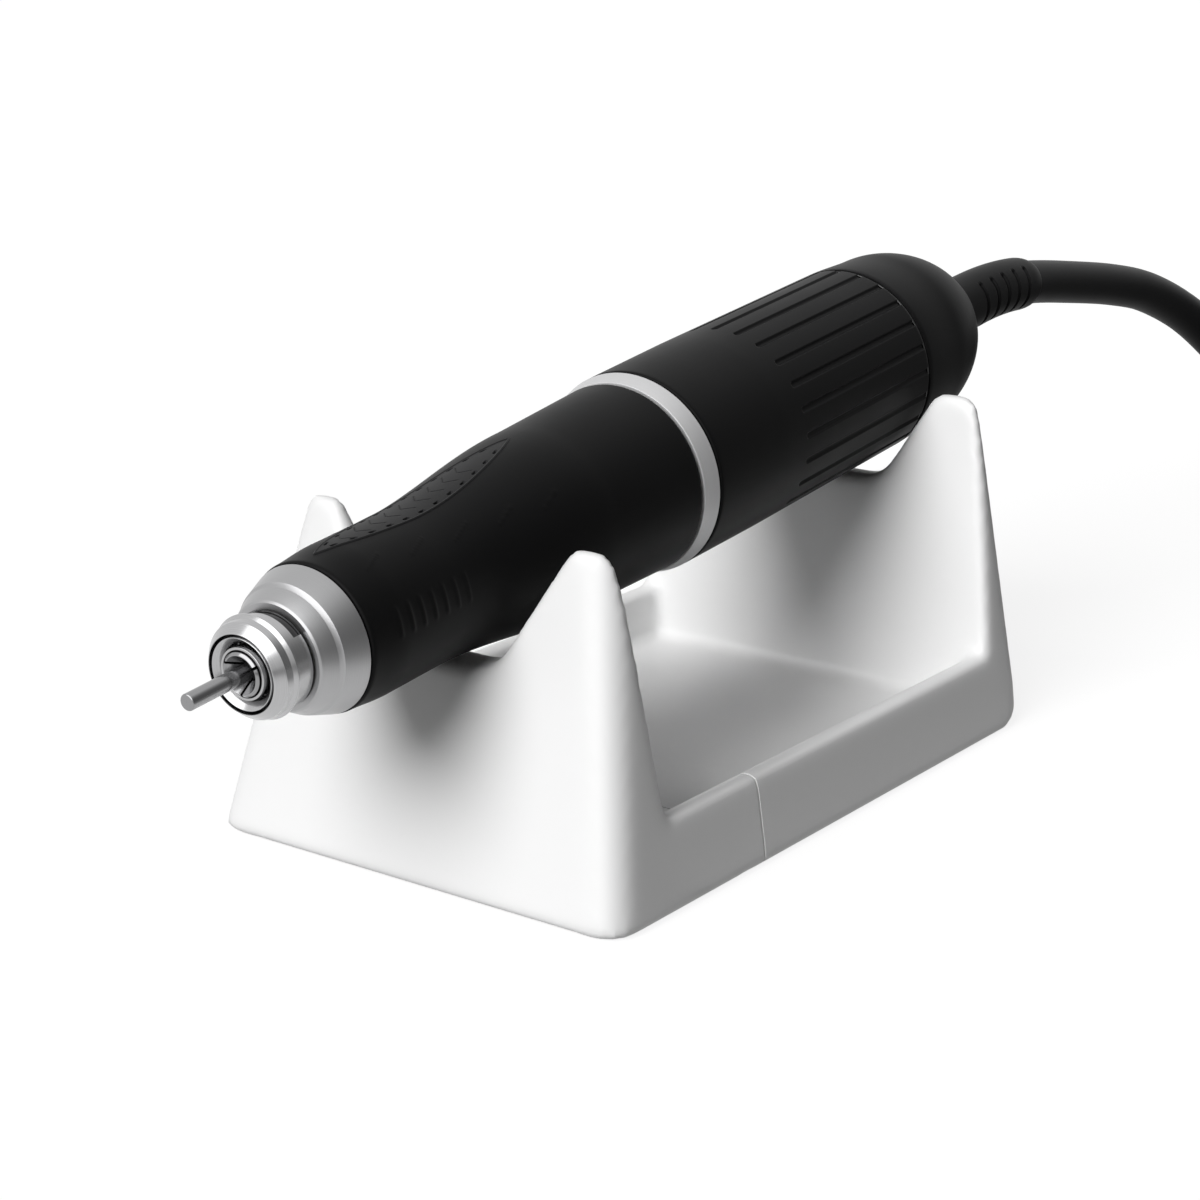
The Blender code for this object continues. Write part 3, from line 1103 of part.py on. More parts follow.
def build_boot(rubber):
    """Strain relief: a flange held inside the dome, and slots on both sides that let it bend."""
    flange = cap_inner_end() - SEAT_GAP - CAP_END
    outline = [
        (flange - BOOT_FLANGE_LENGTH, BOOT_FLANGE_RADIUS, 0), (flange, BOOT_FLANGE_RADIUS, 0),
        (flange, BOOT_RADIUS, 0), (SEAT_GAP, BOOT_RADIUS, 0),
    ]
    for i in reversed(range(BOOT_SLOTS)):
        middle = BOOT_LENGTH - BOOT_LAST_SLOT - i * BOOT_SLOT_PITCH
        crest = BOOT_RADIUS + (BOOT_END_RADIUS - BOOT_RADIUS) * middle / BOOT_LENGTH
        half = BOOT_SLOT_WIDTH / 2
        outline += [(middle - 1.3 * half, crest, 0), (middle - half, crest, BOOT_SLOT_DEPTH),
                    (middle + half, crest, BOOT_SLOT_DEPTH), (middle + 1.3 * half, crest, 0)]
    outline += [(BOOT_LENGTH - BOOT_TIP_LENGTH, BOOT_END_RADIUS, 0),
                (BOOT_LENGTH - 0.3 * BOOT_TIP_LENGTH, 0.6 * BOOT_END_RADIUS + 0.4 * BOOT_TIP_RADIUS, 0),
                (BOOT_LENGTH, BOOT_TIP_RADIUS, 0)]
    bm = bmesh.new()
    sides = 12
    rings = []
    for distance, radius, depth in outline:
        place, along = boot_path(distance)
        up = Vector((-along.z, 0, along.x))
        ring = []
        for k in range(sides):
            a = 2 * math.pi * k / sides
            out = math.cos(a) * up + math.sin(a) * Vector((0, -1, 0))
            cut = depth if abs(math.cos(a)) < 0.6 else 0
            ring.append(bm.verts.new(place + (radius - cut) * out))
        rings.append(ring)
    skin(bm, rings)
    add_object("strain_relief", bm, rubber)


def smooth_route(points, spacing):
    """Evenly spaced points along a Catmull-Rom curve through the given points."""
    ends = [points[0] + (points[0] - points[1])] + points + [points[-1] + (points[-1] - points[-2])]
    fine = []
    for a, b, c, d in zip(ends, ends[1:], ends[2:], ends[3:]):
        for i in range(20):
            t = i / 20
            fine.append(0.5 * (
                2 * b + (c - a) * t + (2 * a - 5 * b + 4 * c - d) * t ** 2
                + (3 * b - a - 3 * c + d) * t ** 3
            ))
    fine.append(points[-1])
    lengths = [0.0]
    for p, q in zip(fine, fine[1:]):
        lengths.append(lengths[-1] + (q - p).length)
    count = max(2, round(lengths[-1] / spacing))
    route = []
    index = 0
    for i in range(count + 1):
        target = lengths[-1] * i / count
        while index < len(lengths) - 2 and lengths[index + 1] < target:
            index += 1
        share = (target - lengths[index]) / (lengths[index + 1] - lengths[index])
        route.append(fine[index].lerp(fine[index + 1], share))
    return route


def cord_tube(name, route, material):
    """Round cord along a row of points, with flat ends."""
    curve = bpy.data.curves.new(name, "CURVE")
    curve.dimensions = "3D"
    curve.bevel_depth = CORD_RADIUS
    curve.bevel_resolution = 2
    curve.use_fill_caps = True
    line = curve.splines.new("POLY")
    line.points.add(len(route) - 1)
    for point, place in zip(line.points, route):
        point.co = (*place, 1)
    curve.materials.append(material)
    part = bpy.data.objects.new(name, curve)
    bpy.context.collection.objects.link(part)


def coil_half_width():
    """Half the width of the coil's turns, with the slack between them."""
    return COIL_TURNS_WIDE * CORD_RADIUS + SEAT_GAP


def coil_height():
    return 2 * COIL_TURNS_HIGH * CORD_RADIUS + SEAT_GAP


def build_cord(jacket):
    """Cord from the strain relief down to the table, its coil, and the end that the plug is on."""
    end, heading = boot_path(BOOT_LENGTH)
    lie = CORD_RADIUS + SEAT_GAP
    half_wide = coil_half_width()
    outer_edge = COIL_RADIUS + COIL_TURNS_WIDE * CORD_RADIUS
    inward = Vector((math.cos(CORD_HEADING), -math.sin(CORD_HEADING), 0))
    outward = Vector((-math.sin(CORD_HEADING), -math.cos(CORD_HEADING), 0))
    clear = COIL_RADIUS + half_wide + SEAT_GAP
    left = math.sqrt(clear ** 2 - (outer_edge - CORD_RADIUS) ** 2)
    touch = COIL_CENTRE + outward * outer_edge - inward * left + Vector((0, 0, lie))
    route = [
        end + heading * SEAT_GAP,
        end + heading * 5 * MM,
        end + Vector((16, -0.3, -1.95)) * MM,
        end + Vector((35.6, -1.5, -5.05)) * MM,
        end + Vector((50.6, -3, -8.7)) * MM,
        end + Vector((65.6, -6, -15.7)) * MM,
        end + Vector((80.6, -11, -27.4)) * MM,
        end + Vector((95.6, -18, -40.9)) * MM,
        touch - inward * 33 * MM + Vector((0, 0, 4.6)) * MM,
        touch - inward * 17 * MM + Vector((0, 0, 0.6)) * MM,
        touch - inward * 6 * MM,
        touch,
    ]
    cord_tube("cord", smooth_route(route, 2.5 * CORD_RADIUS), jacket)

    back = plug_back()
    rise = Vector((0, 0, PLUG_RADIUS - CORD_RADIUS))
    middle = back + Vector((-TAIL_BEND, -6 * MM, 0))
    tail = []
    for degrees, lift in ((-75, 0), (-50, 0.08), (-25, 0.45)):
        angle = math.radians(degrees)
        bend = Vector((math.cos(angle), math.sin(angle), 0)) * TAIL_BEND
        tail.append(middle + bend - rise * (1 - lift))
    tail += [back + Vector((0, -6, -0.5)) * MM, back + Vector((0, -2 * SEAT_GAP, 0))]
    cord_tube("cord_tail", smooth_route(tail, 2.5 * CORD_RADIUS), jacket)

    tall = coil_height()
    corner = CORD_RADIUS * 0.8
    outline = []
    for across, high, first in ((half_wide, tall, 0), (-half_wide, tall, 90), (-half_wide, 0, 180),
                                (half_wide, 0, 270)):
        centre = (across - math.copysign(corner, across), high - corner if high else corner)
        outline += arc(centre, corner, math.radians(first), math.radians(first + 90), 1)
    rest = bpy.data.objects.new("coil_place", None)
    bpy.context.collection.objects.link(rest)
    rest.location = COIL_CENTRE
    turned("cord_coil", [(z, COIL_RADIUS + across) for across, z in outline], jacket, rest, OUTER_FACETS - 6)


def plug_back():
    """Where the cord enters the plug, which lies along the top of the coil."""
    high = coil_height() + SEAT_GAP + PLUG_RADIUS
    return COIL_CENTRE + Vector((PLUG_ACROSS, -PLUG_SET_BACK, high))


def build_plug(shell_metal, rubber, insulator):
    """Round push-in plug on the cord's end: grip, metal shell, insulator and contacts."""
    rest = bpy.data.objects.new("plug_place", None)
    bpy.context.collection.objects.link(rest)
    rest.location = plug_back()
    rest.rotation_euler = (-math.pi / 2, 0, 0)
    grip_end = PLUG_LENGTH
    sides = 2 * SMALL_FACETS
    shell_bore = PLUG_SHELL_RADIUS - PLUG_SHELL_WALL
    turned("plug_body", [
        (0, 0), (0, CORD_RADIUS + 0.8 * MM), (0.25 * grip_end, CORD_RADIUS + 1.4 * MM),
        (0.4 * grip_end, PLUG_RADIUS), (grip_end - 1 * MM, PLUG_RADIUS), (grip_end, PLUG_RADIUS - 1 * MM),
        (grip_end, 0),
    ], rubber, rest, sides)
    start = grip_end + SEAT_GAP
    core_end = start + PLUG_CORE_LENGTH
    turned("plug_shell", tube(start, start + PLUG_SHELL_LENGTH, shell_bore, PLUG_SHELL_RADIUS),
           shell_metal, rest, sides)
    core = turned("plug_core", [
        (start, 0), (start, shell_bore - SEAT_GAP), (core_end, shell_bore - SEAT_GAP), (core_end, 0),
    ], insulator, rest, sides)
    contacts = []
    for i in range(CONTACT_COUNT):
        turn = 2 * math.pi * i / CONTACT_COUNT
        bm = bmesh.new()
        place = Matrix.Translation((
            CONTACT_CIRCLE * math.cos(turn), CONTACT_CIRCLE * math.sin(turn), core_end + CONTACT_LENGTH / 2))
        bmesh.ops.create_cone(bm, cap_ends=True, segments=6, radius1=CONTACT_RADIUS,
                              radius2=CONTACT_RADIUS * 0.7, depth=CONTACT_LENGTH + 1 * MM, matrix=place)
        contacts.append(add_object(f"contact_{i + 1}", bm, None, rest))
    combine(core, contacts, "UNION")


def main():
    clear_scene()
    axis = bpy.data.objects.new("handpiece_axis", None)
    bpy.context.collection.objects.link(axis)
    axis.location = (NOSE_X, 0, NOSE_Z)
    turn = Matrix.Rotation(math.pi / 2 - AXIS_TILT, 4, "Y") @ Matrix.Rotation(math.pi, 4, "Z")
    axis.rotation_euler = turn.to_euler()

    white = finish("cradle_plastic", (0.86, 0.86, 0.86), 0.42)
    rubber = finish("soft_black", (0.018, 0.018, 0.019), 0.55)
    pad_rubber = finish("pad_black", (0.03, 0.03, 0.032), 0.6)
    jacket = finish("cord_jacket", (0.014, 0.014, 0.015), 0.5)
    aluminium = finish("satin_aluminium", (0.72, 0.72, 0.73), 0.32, 1.0)
    steel = finish("polished_steel", (0.6, 0.6, 0.61), 0.22, 1.0)
    brass = finish("brass", (0.78, 0.6, 0.3), 0.3, 1.0)
    magnet = finish("magnet", (0.2, 0.2, 0.21), 0.35, 1.0)
    lamination = finish("lamination", (0.33, 0.33, 0.35), 0.5, 1.0)
    copper = finish("copper_winding", (0.72, 0.33, 0.15), 0.4, 1.0)
    board_green = finish("board_green", (0.04, 0.2, 0.08), 0.45)
    nylon = finish("nylon", (0.8, 0.78, 0.7), 0.5)
    cage_metal = finish("cage_brown", (0.35, 0.22, 0.1), 0.5)

    build_cradle(white)
    build_nose(steel, aluminium, axis)
    build_housing(aluminium, axis)
    build_grip(rubber, pad_rubber, axis)
    build_mid_ring(aluminium, axis)
    build_twist_sleeve(rubber, steel, axis)
    build_cap(rubber, axis)
    build_spindle(steel, axis)
    for prefix, start in (("front", FRONT_BEARING), ("rear", REAR_BEARING)):
        build_bearing(prefix, start, BEARING_BORE, BEARING_RACE, BEARING_OUTSIDE, BEARING_WIDTH,
                      BALL_RADIUS, steel, cage_metal, axis)
    build_collet(steel, brass, axis)
    build_clamps(steel, axis)
    build_release(steel, brass, axis)
    build_coupling(nylon, steel, axis)
    build_motor((aluminium, steel, magnet, lamination, copper, board_green, cage_metal), axis)
    build_boot(rubber)
    build_cord(jacket)
    build_plug(aluminium, rubber, nylon)
    bpy.context.view_layer.update()


main()
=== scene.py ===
"""Looks of the dental micromotor handpiece, its bench cradle and its coiled cord.

Turned pieces are outlines of (distance behind the nose face, radius) carried round the handpiece
axis, which is read from the frame. Angles round it count from its upper side towards -Y.
"""

import math

import bmesh
import bpy
import numpy as np
from mathutils import Matrix, Vector
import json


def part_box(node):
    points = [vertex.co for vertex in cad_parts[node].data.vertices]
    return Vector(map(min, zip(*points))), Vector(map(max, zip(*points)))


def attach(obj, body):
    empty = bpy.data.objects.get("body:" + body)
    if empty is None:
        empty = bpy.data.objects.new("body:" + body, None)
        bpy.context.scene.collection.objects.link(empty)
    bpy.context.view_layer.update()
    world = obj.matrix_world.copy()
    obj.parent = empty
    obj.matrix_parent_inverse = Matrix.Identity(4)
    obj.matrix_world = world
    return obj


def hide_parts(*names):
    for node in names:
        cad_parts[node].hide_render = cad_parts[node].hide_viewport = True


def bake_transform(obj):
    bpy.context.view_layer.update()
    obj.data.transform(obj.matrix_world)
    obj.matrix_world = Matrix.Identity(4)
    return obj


MM = 0.001
TURN = 2 * math.pi

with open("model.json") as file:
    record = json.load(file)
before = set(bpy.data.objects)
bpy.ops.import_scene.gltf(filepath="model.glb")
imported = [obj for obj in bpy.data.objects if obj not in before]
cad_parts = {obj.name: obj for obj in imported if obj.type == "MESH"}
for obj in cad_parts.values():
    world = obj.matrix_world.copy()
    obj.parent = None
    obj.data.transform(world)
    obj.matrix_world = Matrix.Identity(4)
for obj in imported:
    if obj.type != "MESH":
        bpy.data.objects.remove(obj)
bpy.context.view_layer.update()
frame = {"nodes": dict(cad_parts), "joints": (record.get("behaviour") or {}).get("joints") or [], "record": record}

# Handpiece axis, from the joint that the spindle spins on
SPIN = next(joint for joint in frame["joints"] if joint["name"] == "spindle_spin")
NOSE = np.array(SPIN["pos_m"])
AXIS = np.array(SPIN["axis"]) / np.linalg.norm(SPIN["axis"])
TILT = math.atan2(AXIS[2], AXIS[0])
HANDPIECE = (NOSE, AXIS, np.array([-AXIS[2], 0, AXIS[0]]), np.array([0, -1.0, 0]))


def vertices(node):
    """Corner points of a CAD node, in metres."""
    mesh = frame["nodes"][node].data
    flat = np.zeros(len(mesh.vertices) * 3)
    mesh.vertices.foreach_get("co", flat)
    return flat.reshape(-1, 3)


def reach(node):
    """First and last place along the handpiece axis, and the largest radius, of a CAD node."""
    away = vertices(node) - NOSE
    along = away @ AXIS
    radius = np.linalg.norm(away - along[:, None] * AXIS, axis=1)
    return along.min(), along.max(), radius.max()


# Facets, spacing and tolerances
ROUND = 192
FINE = 0.2 * MM
MERGE = 1e-6
TOUCH = 1e-7
NO_AREA = 1e-8
NEARLY_STRAIGHT = 1.56
AXIS_GAP = 0.02 * MM
SEAT_GAP = 0.3 * MM
ARC_STEPS = 5

# Cradle
CRADLE_FINE_GRID = 0.4 * MM
CRADLE_GRID = 0.8 * MM
CRADLE_WEAR = 28
CRADLE_FINISH = 2
FOOT_WEAR = 30
FOOT_REACH = 7 * MM
FOOT_FADE = 5 * MM
SEAM_REACH = 0.15 * MM
SEAM_GAP = 0.03 * MM
SEAM_CHAMFER = 0.3 * MM

# Nose insert, ring and cone
NOSE_MOUTH = 4.0 * MM
INSERT_RADIUS = 5.2 * MM
INSERT_CHAMFER = 0.4 * MM
INSERT_FLARE = 1.1 * MM
RING_BORE = 5.5 * MM
RING_FACE = 5.6 * MM
RING_FACE_LENGTH = 1.35 * MM
RING_FACE_RISE = 1.12 * MM
RING_BEVEL_LENGTH = 3.1 * MM
RING_BEVEL_RADIUS = 7.26 * MM
RING_BAND = 6.7 * MM
RING_THREAD_PLACE = 3.6 * MM
RING_THREAD_DEPTH = 1.47 * MM
RING_SPACING = 0.15 * MM
SPANNER_WIDTH = 1.35 * MM
SPANNER_DEPTH = 0.425 * MM
SPANNER_SIDE = 1e-4
SPANNER_TURNS = (math.radians(-27), math.radians(49))
CONE_FRONT = 7.72 * MM
CONE_STEP = 8.88 * MM
CONE_STEP_PLACE = 2.6 * MM
CONE_STEP_RISE = 0.36 * MM
CONE_REAR = 10.52 * MM
CONE_WALL = 1.5 * MM
CONE_REAR_WALL = 2.2 * MM

# Spindle, collet and shank
SPINDLE_MOUTH = 3.3 * MM
SPINDLE_NOSE = 3.65 * MM
SPINDLE_NECK_DEPTH = 0.45 * MM
SPINDLE_MIDDLE = 3.9 * MM
SPINDLE_BODY = 5.6 * MM
CHAMBER_RADIUS = 4.3 * MM
SPRING_CHAMBER = 36 * MM
SPRING_WALL = 3 * MM
COLLET_BODY = 1.9 * MM
COLLET_TAPER = 4.6 * MM
COLLET_DISH = 1.5 * MM
COLLET_SLIT = 0.4 * MM
COLLET_GAP = 0.2 * MM
COLLET_TURN = math.radians(60)
JAW_SIDES = 41
SHANK_DIAMETER = 2.35 * MM
SHANK_GAP = 0.035 * MM
SHANK_CENTRE = 0.005 * MM

# Grip
GRIP_FRONT = 10.7 * MM
GRIP_WAIST = 11.18 * MM
GRIP_SHOULDER = 14.14 * MM
GRIP_REAR = 14.9 * MM
GRIP_FLARE_SHARE = 0.1
GRIP_SWELL_START = 0.26
GRIP_SWELL_END = 0.72
GRIP_LIP = 0.5 * MM
GRIP_FRONT_BORE = 9.6 * MM
GRIP_SIDES = 220

# Grip pad with its slots and arrowheads
PAD_FRONT = 2.6 * MM
PAD_LENGTH = 43.6 * MM
PAD_HALF_WIDTH = 3.62 * MM
PAD_POWER = 0.75
PAD_TIP = 0.15 * MM
PAD_PROUD = 0.06 * MM
PAD_DEEP = 0.65 * MM
PAD_EDGE = 0.06 * MM
PAD_GAP = 0.03 * MM
PAD_RIM_INSET = 0.22 * MM
PAD_RIM_HALF_WIDTH = 0.2 * MM
PAD_RIM_HEIGHT = 0.12 * MM
PAD_LANES = 91
PAD_TURN = math.radians(-4)
POCKET_FLOOR_GAP = 0.2 * MM
POCKET_WALL = 1e-3 * MM
DASH_PITCH = 3.2 * MM
DASH_COUNT = 12
DASH_START = 3.45 * MM
DASH_INSET = 0.78 * MM
DASH_HALF_LENGTH = 0.6 * MM
DASH_HALF_WIDTH = 0.24 * MM
DASH_DEPTH = 0.3 * MM
DASH_STEEP = 2.5
CHEVRON_START = 5.55 * MM
CHEVRON_COUNT = 9
CHEVRON_SWEEP = 1.0
CHEVRON_REACH = 1.5 * MM
CHEVRON_HALF_WIDTH = 0.2 * MM
CHEVRON_DEPTH = 0.08 * MM
CHEVRON_EDGE = 0.9 * MM
CHEVRON_FADE = 0.3 * MM

# Ribs and streaks on the grip's sides
PANEL_TURN = math.radians(75)
RIB_START = 5.5 * MM
RIB_PITCH = 2.42 * MM
RIB_COUNT = 7
RIB_HALF_WIDTH = RIB_PITCH / 4
RIB_HALF_TURN = math.radians(12)
RIB_SHIFT = 0.1
RIB_FADE = 0.05
RIB_HEIGHT = 0.12 * MM
STREAK_START = 7.0 * MM
STREAK_PITCH = 8.3 * MM
STREAK_COUNT = 5
STREAK_TURN = math.radians(34)
STREAK_TURN_STEP = math.radians(5)
STREAK_SLANT = 0.4
STREAK_HALF_LENGTH = 2.1 * MM
STREAK_HALF_WIDTH = 0.22 * MM
STREAK_HEIGHT = 0.1 * MM

# Ring, sleeve and washer
MID_FRONT = 15.0 * MM
MID_BORE = 12.4 * MM
SLEEVE_FRONT = 15.71 * MM
SLEEVE_RADIUS = 15.95 * MM
SLEEVE_BORE = 13.75 * MM
SLEEVE_OUTSIDE = 15 * MM
SLEEVE_TAPER = 0.3
WASHER_BORE = 14.6 * MM
GROOVES = 24
GROOVE_PHASE = math.radians(11)
GROOVE_LENGTH = 38.5 * MM
GROOVE_HALF_WIDTH = 0.6 * MM
GROOVE_DEPTH = 0.42 * MM
GROOVE_SPREAD = 1.15
GROOVE_FLAT = 0.35
GROOVE_WALL = 0.7

# Rear cap
CAP_REAR = 15.5 * MM
CAP_STRAIGHT = 11.7 * MM
CAP_DOME_LENGTH = 21.6 * MM
CAP_POWER = 1.75
CAP_CHAMFER_LENGTH = 0.25 * MM
CAP_HOLE_LIP = 0.18 * MM
CAP_HOLE_DEPTH = 2.5 * MM
CAP_BACK_BORE = 9 * MM
CAP_BORE = 13 * MM

# Strain relief
BOOT_LENGTH = 32 * MM
BOOT_STRAIGHT = 12 * MM
BOOT_BEND = math.radians(11.1)
BOOT_RADIUS = 5.1 * MM
BOOT_END = 4.8 * MM
BOOT_TIP = 3.5 * MM
BOOT_ROOT = 3.5 * MM
BOOT_LIP = 0.08 * MM
BOOT_SLOTS = 5
BOOT_SLOT_PITCH = 4.05 * MM
BOOT_LAST_SLOT = 6.1 * MM
BOOT_SLOT_HALF_WIDTH = 0.6 * MM
BOOT_SLOT_HALF_TURN = math.radians(52)
BOOT_SLOT_DEPTH = 0.5 * MM
BOOT_SLOT_STEEP = 3
BOOT_SLOT_END_STEEP = 8
BOOT_RINGS = 260
BOOT_SIDES = 96

# Cord, its coil and its tail, whose angles are in degrees
CORD_RADIUS = 4.0 * MM
CORD_LIE = 4.3 * MM
CORD_HEADING = math.radians(31)
CORD_LEAD = 5 * MM
# Its way down from the strain relief's end, in mm
CORD_FALL = (
    (16, -0.3, -1.95), (35.6, -1.5, -5.05), (50.6, -3, -8.7), (65.6, -6, -15.7),
    (80.6, -11, -27.4), (95.6, -18, -40.9),
)
# Its run up to the coil, in mm before it and over the table
CORD_RUN = ((47, 4.6), (31, 0.6), (18, 0), (9, 0))
COIL_CENTRE = np.array([0.3083, -0.0137, 0.0])
COIL_RADIUS = 41.5 * MM
COIL_PITCH = 8.25 * MM
COIL_HEIGHT = 24.3 * MM
# Where the coil starts, the part of a lap in which strands move on, and where the cord joins
COIL_START = -185
COIL_SECTOR = 100
COIL_JOIN = 56
COIL_LAPS = 5
COIL_STEP = 4.0
TAIL_BEND = 37.5 * MM
TAIL_STRAIGHT = 6 * MM
TAIL_START = 3
ROUTE_STEP = 3 * MM
CORD_STEP = 2.2 * MM
CORD_SIDES = 24
SPLINE_STEPS = 40

# Plug
PLUG_RADIUS = 7.5 * MM
PLUG_PLACE = (39.5 * MM, -2 * MM)
PLUG_LENGTH = 30 * MM
PLUG_SHELL_RADIUS = 6.6 * MM
PLUG_SHELL_LENGTH = 13 * MM
PLUG_SHELL_WALL = 0.9 * MM
SHELL_GROOVE_PLACE = 9 * MM
SHELL_GROOVE_DEPTH = 0.25 * MM
RIDGES = 24
RIDGE_START = 0.5
RIDGE_END = 0.9
RIDGE_FADE = 1 * MM
RIDGE_DEPTH = 0.25 * MM
RIDGE_LIMIT = 0.5 * MM
PLUG_SPACING = 0.5 * MM

# Camera, fitted to the photograph
CAMERA_PLACE = (-0.35398, -0.23568, 0.15575)
CAMERA_HEADING = math.radians(34.696)
CAMERA_PITCH = math.radians(-16.742)
CAMERA_ROLL = math.radians(1.273)
CAMERA_LENS = 86.07
CAMERA_SENSOR = 36
CAMERA_NEAR = 0.01

# Finishes
CLOUD_SCALE = 90
GRAIN_DEPTH = 0.02 * MM
TURNED_TONE = 0.35
TURNED_DEPTH = 0.01 * MM
# Shade painted into the nose ring's spanner slots: the hollow's place and radius, and the share of the colour left
# in it
SLOT_SHADE_HOLLOW = (4 * MM, 6.36 * MM)
HOLLOW_SHADE_TONE = 0.1

# Key light: heading, then width in degrees and strength of its two suns
KEY_HEADING = (0.8, 0.0, -0.6)
KEY_LIGHT = (36, 3.3)
KEY_GLOSS = (75, 2.4)

# Where the white backdrop ends for reflections: direction, distance, width of the fall, tone beyond
FLOOR_EDGE = ((-0.4, 0.92, 0), -0.015, 0.11, 0.2)
ROOM_EDGE = ((-0.35, 0.93, -0.1), -0.3, 0.65, 0.2)

# Floor and surround
WHITE = (1, 1, 1, 1)
FLOOR_REACH = 4
FLOOR_DROP = 0.05 * MM
FLOOR_DULL = 0.3
FLOOR_PALE = 0.22
FLOOR_GLOW = 0.86
WORLD_FILL = 0.06


# Surfaces

def skin(points, closed_rows, closed_columns):
    """Mesh of quads over a grid of points, joined round on the sides that are closed."""
    rows, columns = points.shape[:2]
    index = np.arange(rows * columns).reshape(rows, columns)
    if closed_rows:
        index = np.vstack([index, index[:1]])
    if closed_columns:
        index = np.hstack([index, index[:, :1]])
    quads = np.stack([index[:-1, :-1], index[:-1, 1:], index[1:, 1:], index[1:, :-1]], -1)
    quads = quads.reshape(-1, 4)
    mesh = bpy.data.meshes.new("skin")
    mesh.vertices.add(rows * columns)
    mesh.vertices.foreach_set("co", points.reshape(-1).astype(np.float32))
    mesh.loops.add(quads.size)
    mesh.loops.foreach_set("vertex_index", quads.reshape(-1).astype(np.int32))
    mesh.polygons.add(len(quads))
    mesh.polygons.foreach_set("loop_start", (np.arange(len(quads)) * 4).astype(np.int32))
    mesh.update(calc_edges=True)
    return mesh


def add(name, mesh, material, body, *nodes, sharp=32):
    """Put a finished mesh in the scene as a piece that stands for CAD nodes and rides on a body.

    A piece with None for its body is attached to no body.
    """
    mesh.name = name
    mesh.shade_smooth()
    mesh.set_sharp_from_angle(angle=math.radians(sharp))
    mesh.materials.clear()
    mesh.materials.append(MATERIALS[material])
    piece = bpy.data.objects.new(name, mesh)
    bpy.context.scene.collection.objects.link(piece)
    if body:
        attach(piece, body)
    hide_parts(*nodes)
    return piece


def weld(mesh):
    """Merge the doubles at closed poles and drop faces that have no area."""
    work = bmesh.new()
    work.from_mesh(mesh)
    bmesh.ops.remove_doubles(work, verts=work.verts, dist=TOUCH)
    bmesh.ops.dissolve_degenerate(work, edges=work.edges, dist=NO_AREA)
    work.to_mesh(mesh)
    work.free()
    return mesh


def around(axes, along, radius, turn):
    """Point at a distance along an axis, a radius from it and an angle round it."""
    origin, ahead, up, side = axes
    out = np.cos(turn)[..., None] * up + np.sin(turn)[..., None] * side
    return origin + along[..., None] * ahead + radius[..., None] * out


def rounded(corners):
    """Closed outline through corners (along, radius, rounding), each rounding a tangent arc.

    A corner without a rounding stays sharp, and so does one on a nearly straight line.
    """
    points = np.array([corner[:2] for corner in corners], float)
    radii = np.array([corner[2] if len(corner) > 2 else 0.0 for corner in corners])
    back = np.roll(points, 1, 0) - points
    ahead = np.roll(points, -1, 0) - points
    back_length = np.linalg.norm(back, axis=1)
    ahead_length = np.linalg.norm(ahead, axis=1)
    outline = []
    for i, point in enumerate(points):
        before, after = back[i] / back_length[i], ahead[i] / ahead_length[i]
        half = math.acos(np.clip(before @ after, -1, 1)) / 2
        if radii[i] <= 0 or half > NEARLY_STRAIGHT:
            outline.append(point[None])
            continue
        setback = radii[i] / math.tan(half)
        middle = before + after
        centre = point + middle / np.linalg.norm(middle) * radii[i] / math.sin(half)
        first, last = point + before * setback - centre, point + after * setback - centre
        start = math.atan2(first[1], first[0])
        sweep = (math.atan2(last[1], last[0]) - start + math.pi) % TURN - math.pi
        turn = start + sweep * np.linspace(0, 1, ARC_STEPS + 1)
        outline.append(centre + radii[i] * np.stack([np.cos(turn), np.sin(turn)], 1))
    return np.vstack(outline)


def spaced(outline, spacing):
    """The same closed outline with points added so that none are further apart than a spacing."""
    following = np.roll(outline, -1, 0)
    length = np.linalg.norm(following - outline, axis=1)
    cuts = np.maximum(1, np.ceil(length / spacing)).astype(int)
    start = np.repeat(np.arange(len(outline)), cuts)
    step = np.arange(len(start)) - np.repeat(np.cumsum(cuts) - cuts, cuts)
    share = (step / np.repeat(cuts, cuts))[:, None]
    return outline[start] * (1 - share) + following[start] * share


def lathe(outline, axes=HANDPIECE, relief=None, turns=None):
    """An outline carried round an axis; relief changes its radius with place and angle."""
    turn = np.linspace(0, TURN, ROUND, endpoint=False) if turns is None else turns
    along = np.repeat(outline[:, :1], len(turn), 1)
    radius = np.repeat(outline[:, 1:2], len(turn), 1)
    angle = np.repeat(turn[None], len(outline), 0)
    if relief is not None:
        radius = radius + relief(along, radius, angle)
    return skin(around(axes, along, radius, angle), True, True)


def smooth(share):
    """0 to 1 with level ends."""
    share = np.clip(share, 0, 1)
    return share * share * (3 - 2 * share)


def off(angle, centre):
    """Angle from a centre, wrapped to at most half a turn either way."""
    return (angle - centre + math.pi) % TURN - math.pi


# Node groups and materials

def node_group(name, **numbers):
    """An empty shader group: a vector and the given numbers go in, a height and a shade out."""
    group = bpy.data.node_groups.new(name, "ShaderNodeTree")
    sockets = group.interface
    sockets.new_socket(name="Vector", in_out="INPUT", socket_type="NodeSocketVector")
    for label, value in numbers.items():
        socket = sockets.new_socket(name=label, in_out="INPUT", socket_type="NodeSocketFloat")
        socket.default_value = value
    for label in ("Height", "Shade"):
        sockets.new_socket(name=label, in_out="OUTPUT", socket_type="NodeSocketFloat")
    return group, group.nodes.new("NodeGroupInput"), group.nodes.new("NodeGroupOutput")


def link(tree, *pairs):
    """Join outputs to inputs, each pair in that order."""
    for source, target in pairs:
        tree.links.new(source, target)


def shader_node(tree, kind, inputs=None, **settings):
    """A new shader node with its settings and the given values of its inputs."""
    node = tree.nodes.new("ShaderNode" + kind)
    for label, value in settings.items():
        setattr(node, label, value)
    for label, value in (inputs or {}).items():
        node.inputs[label].default_value = value
    return node


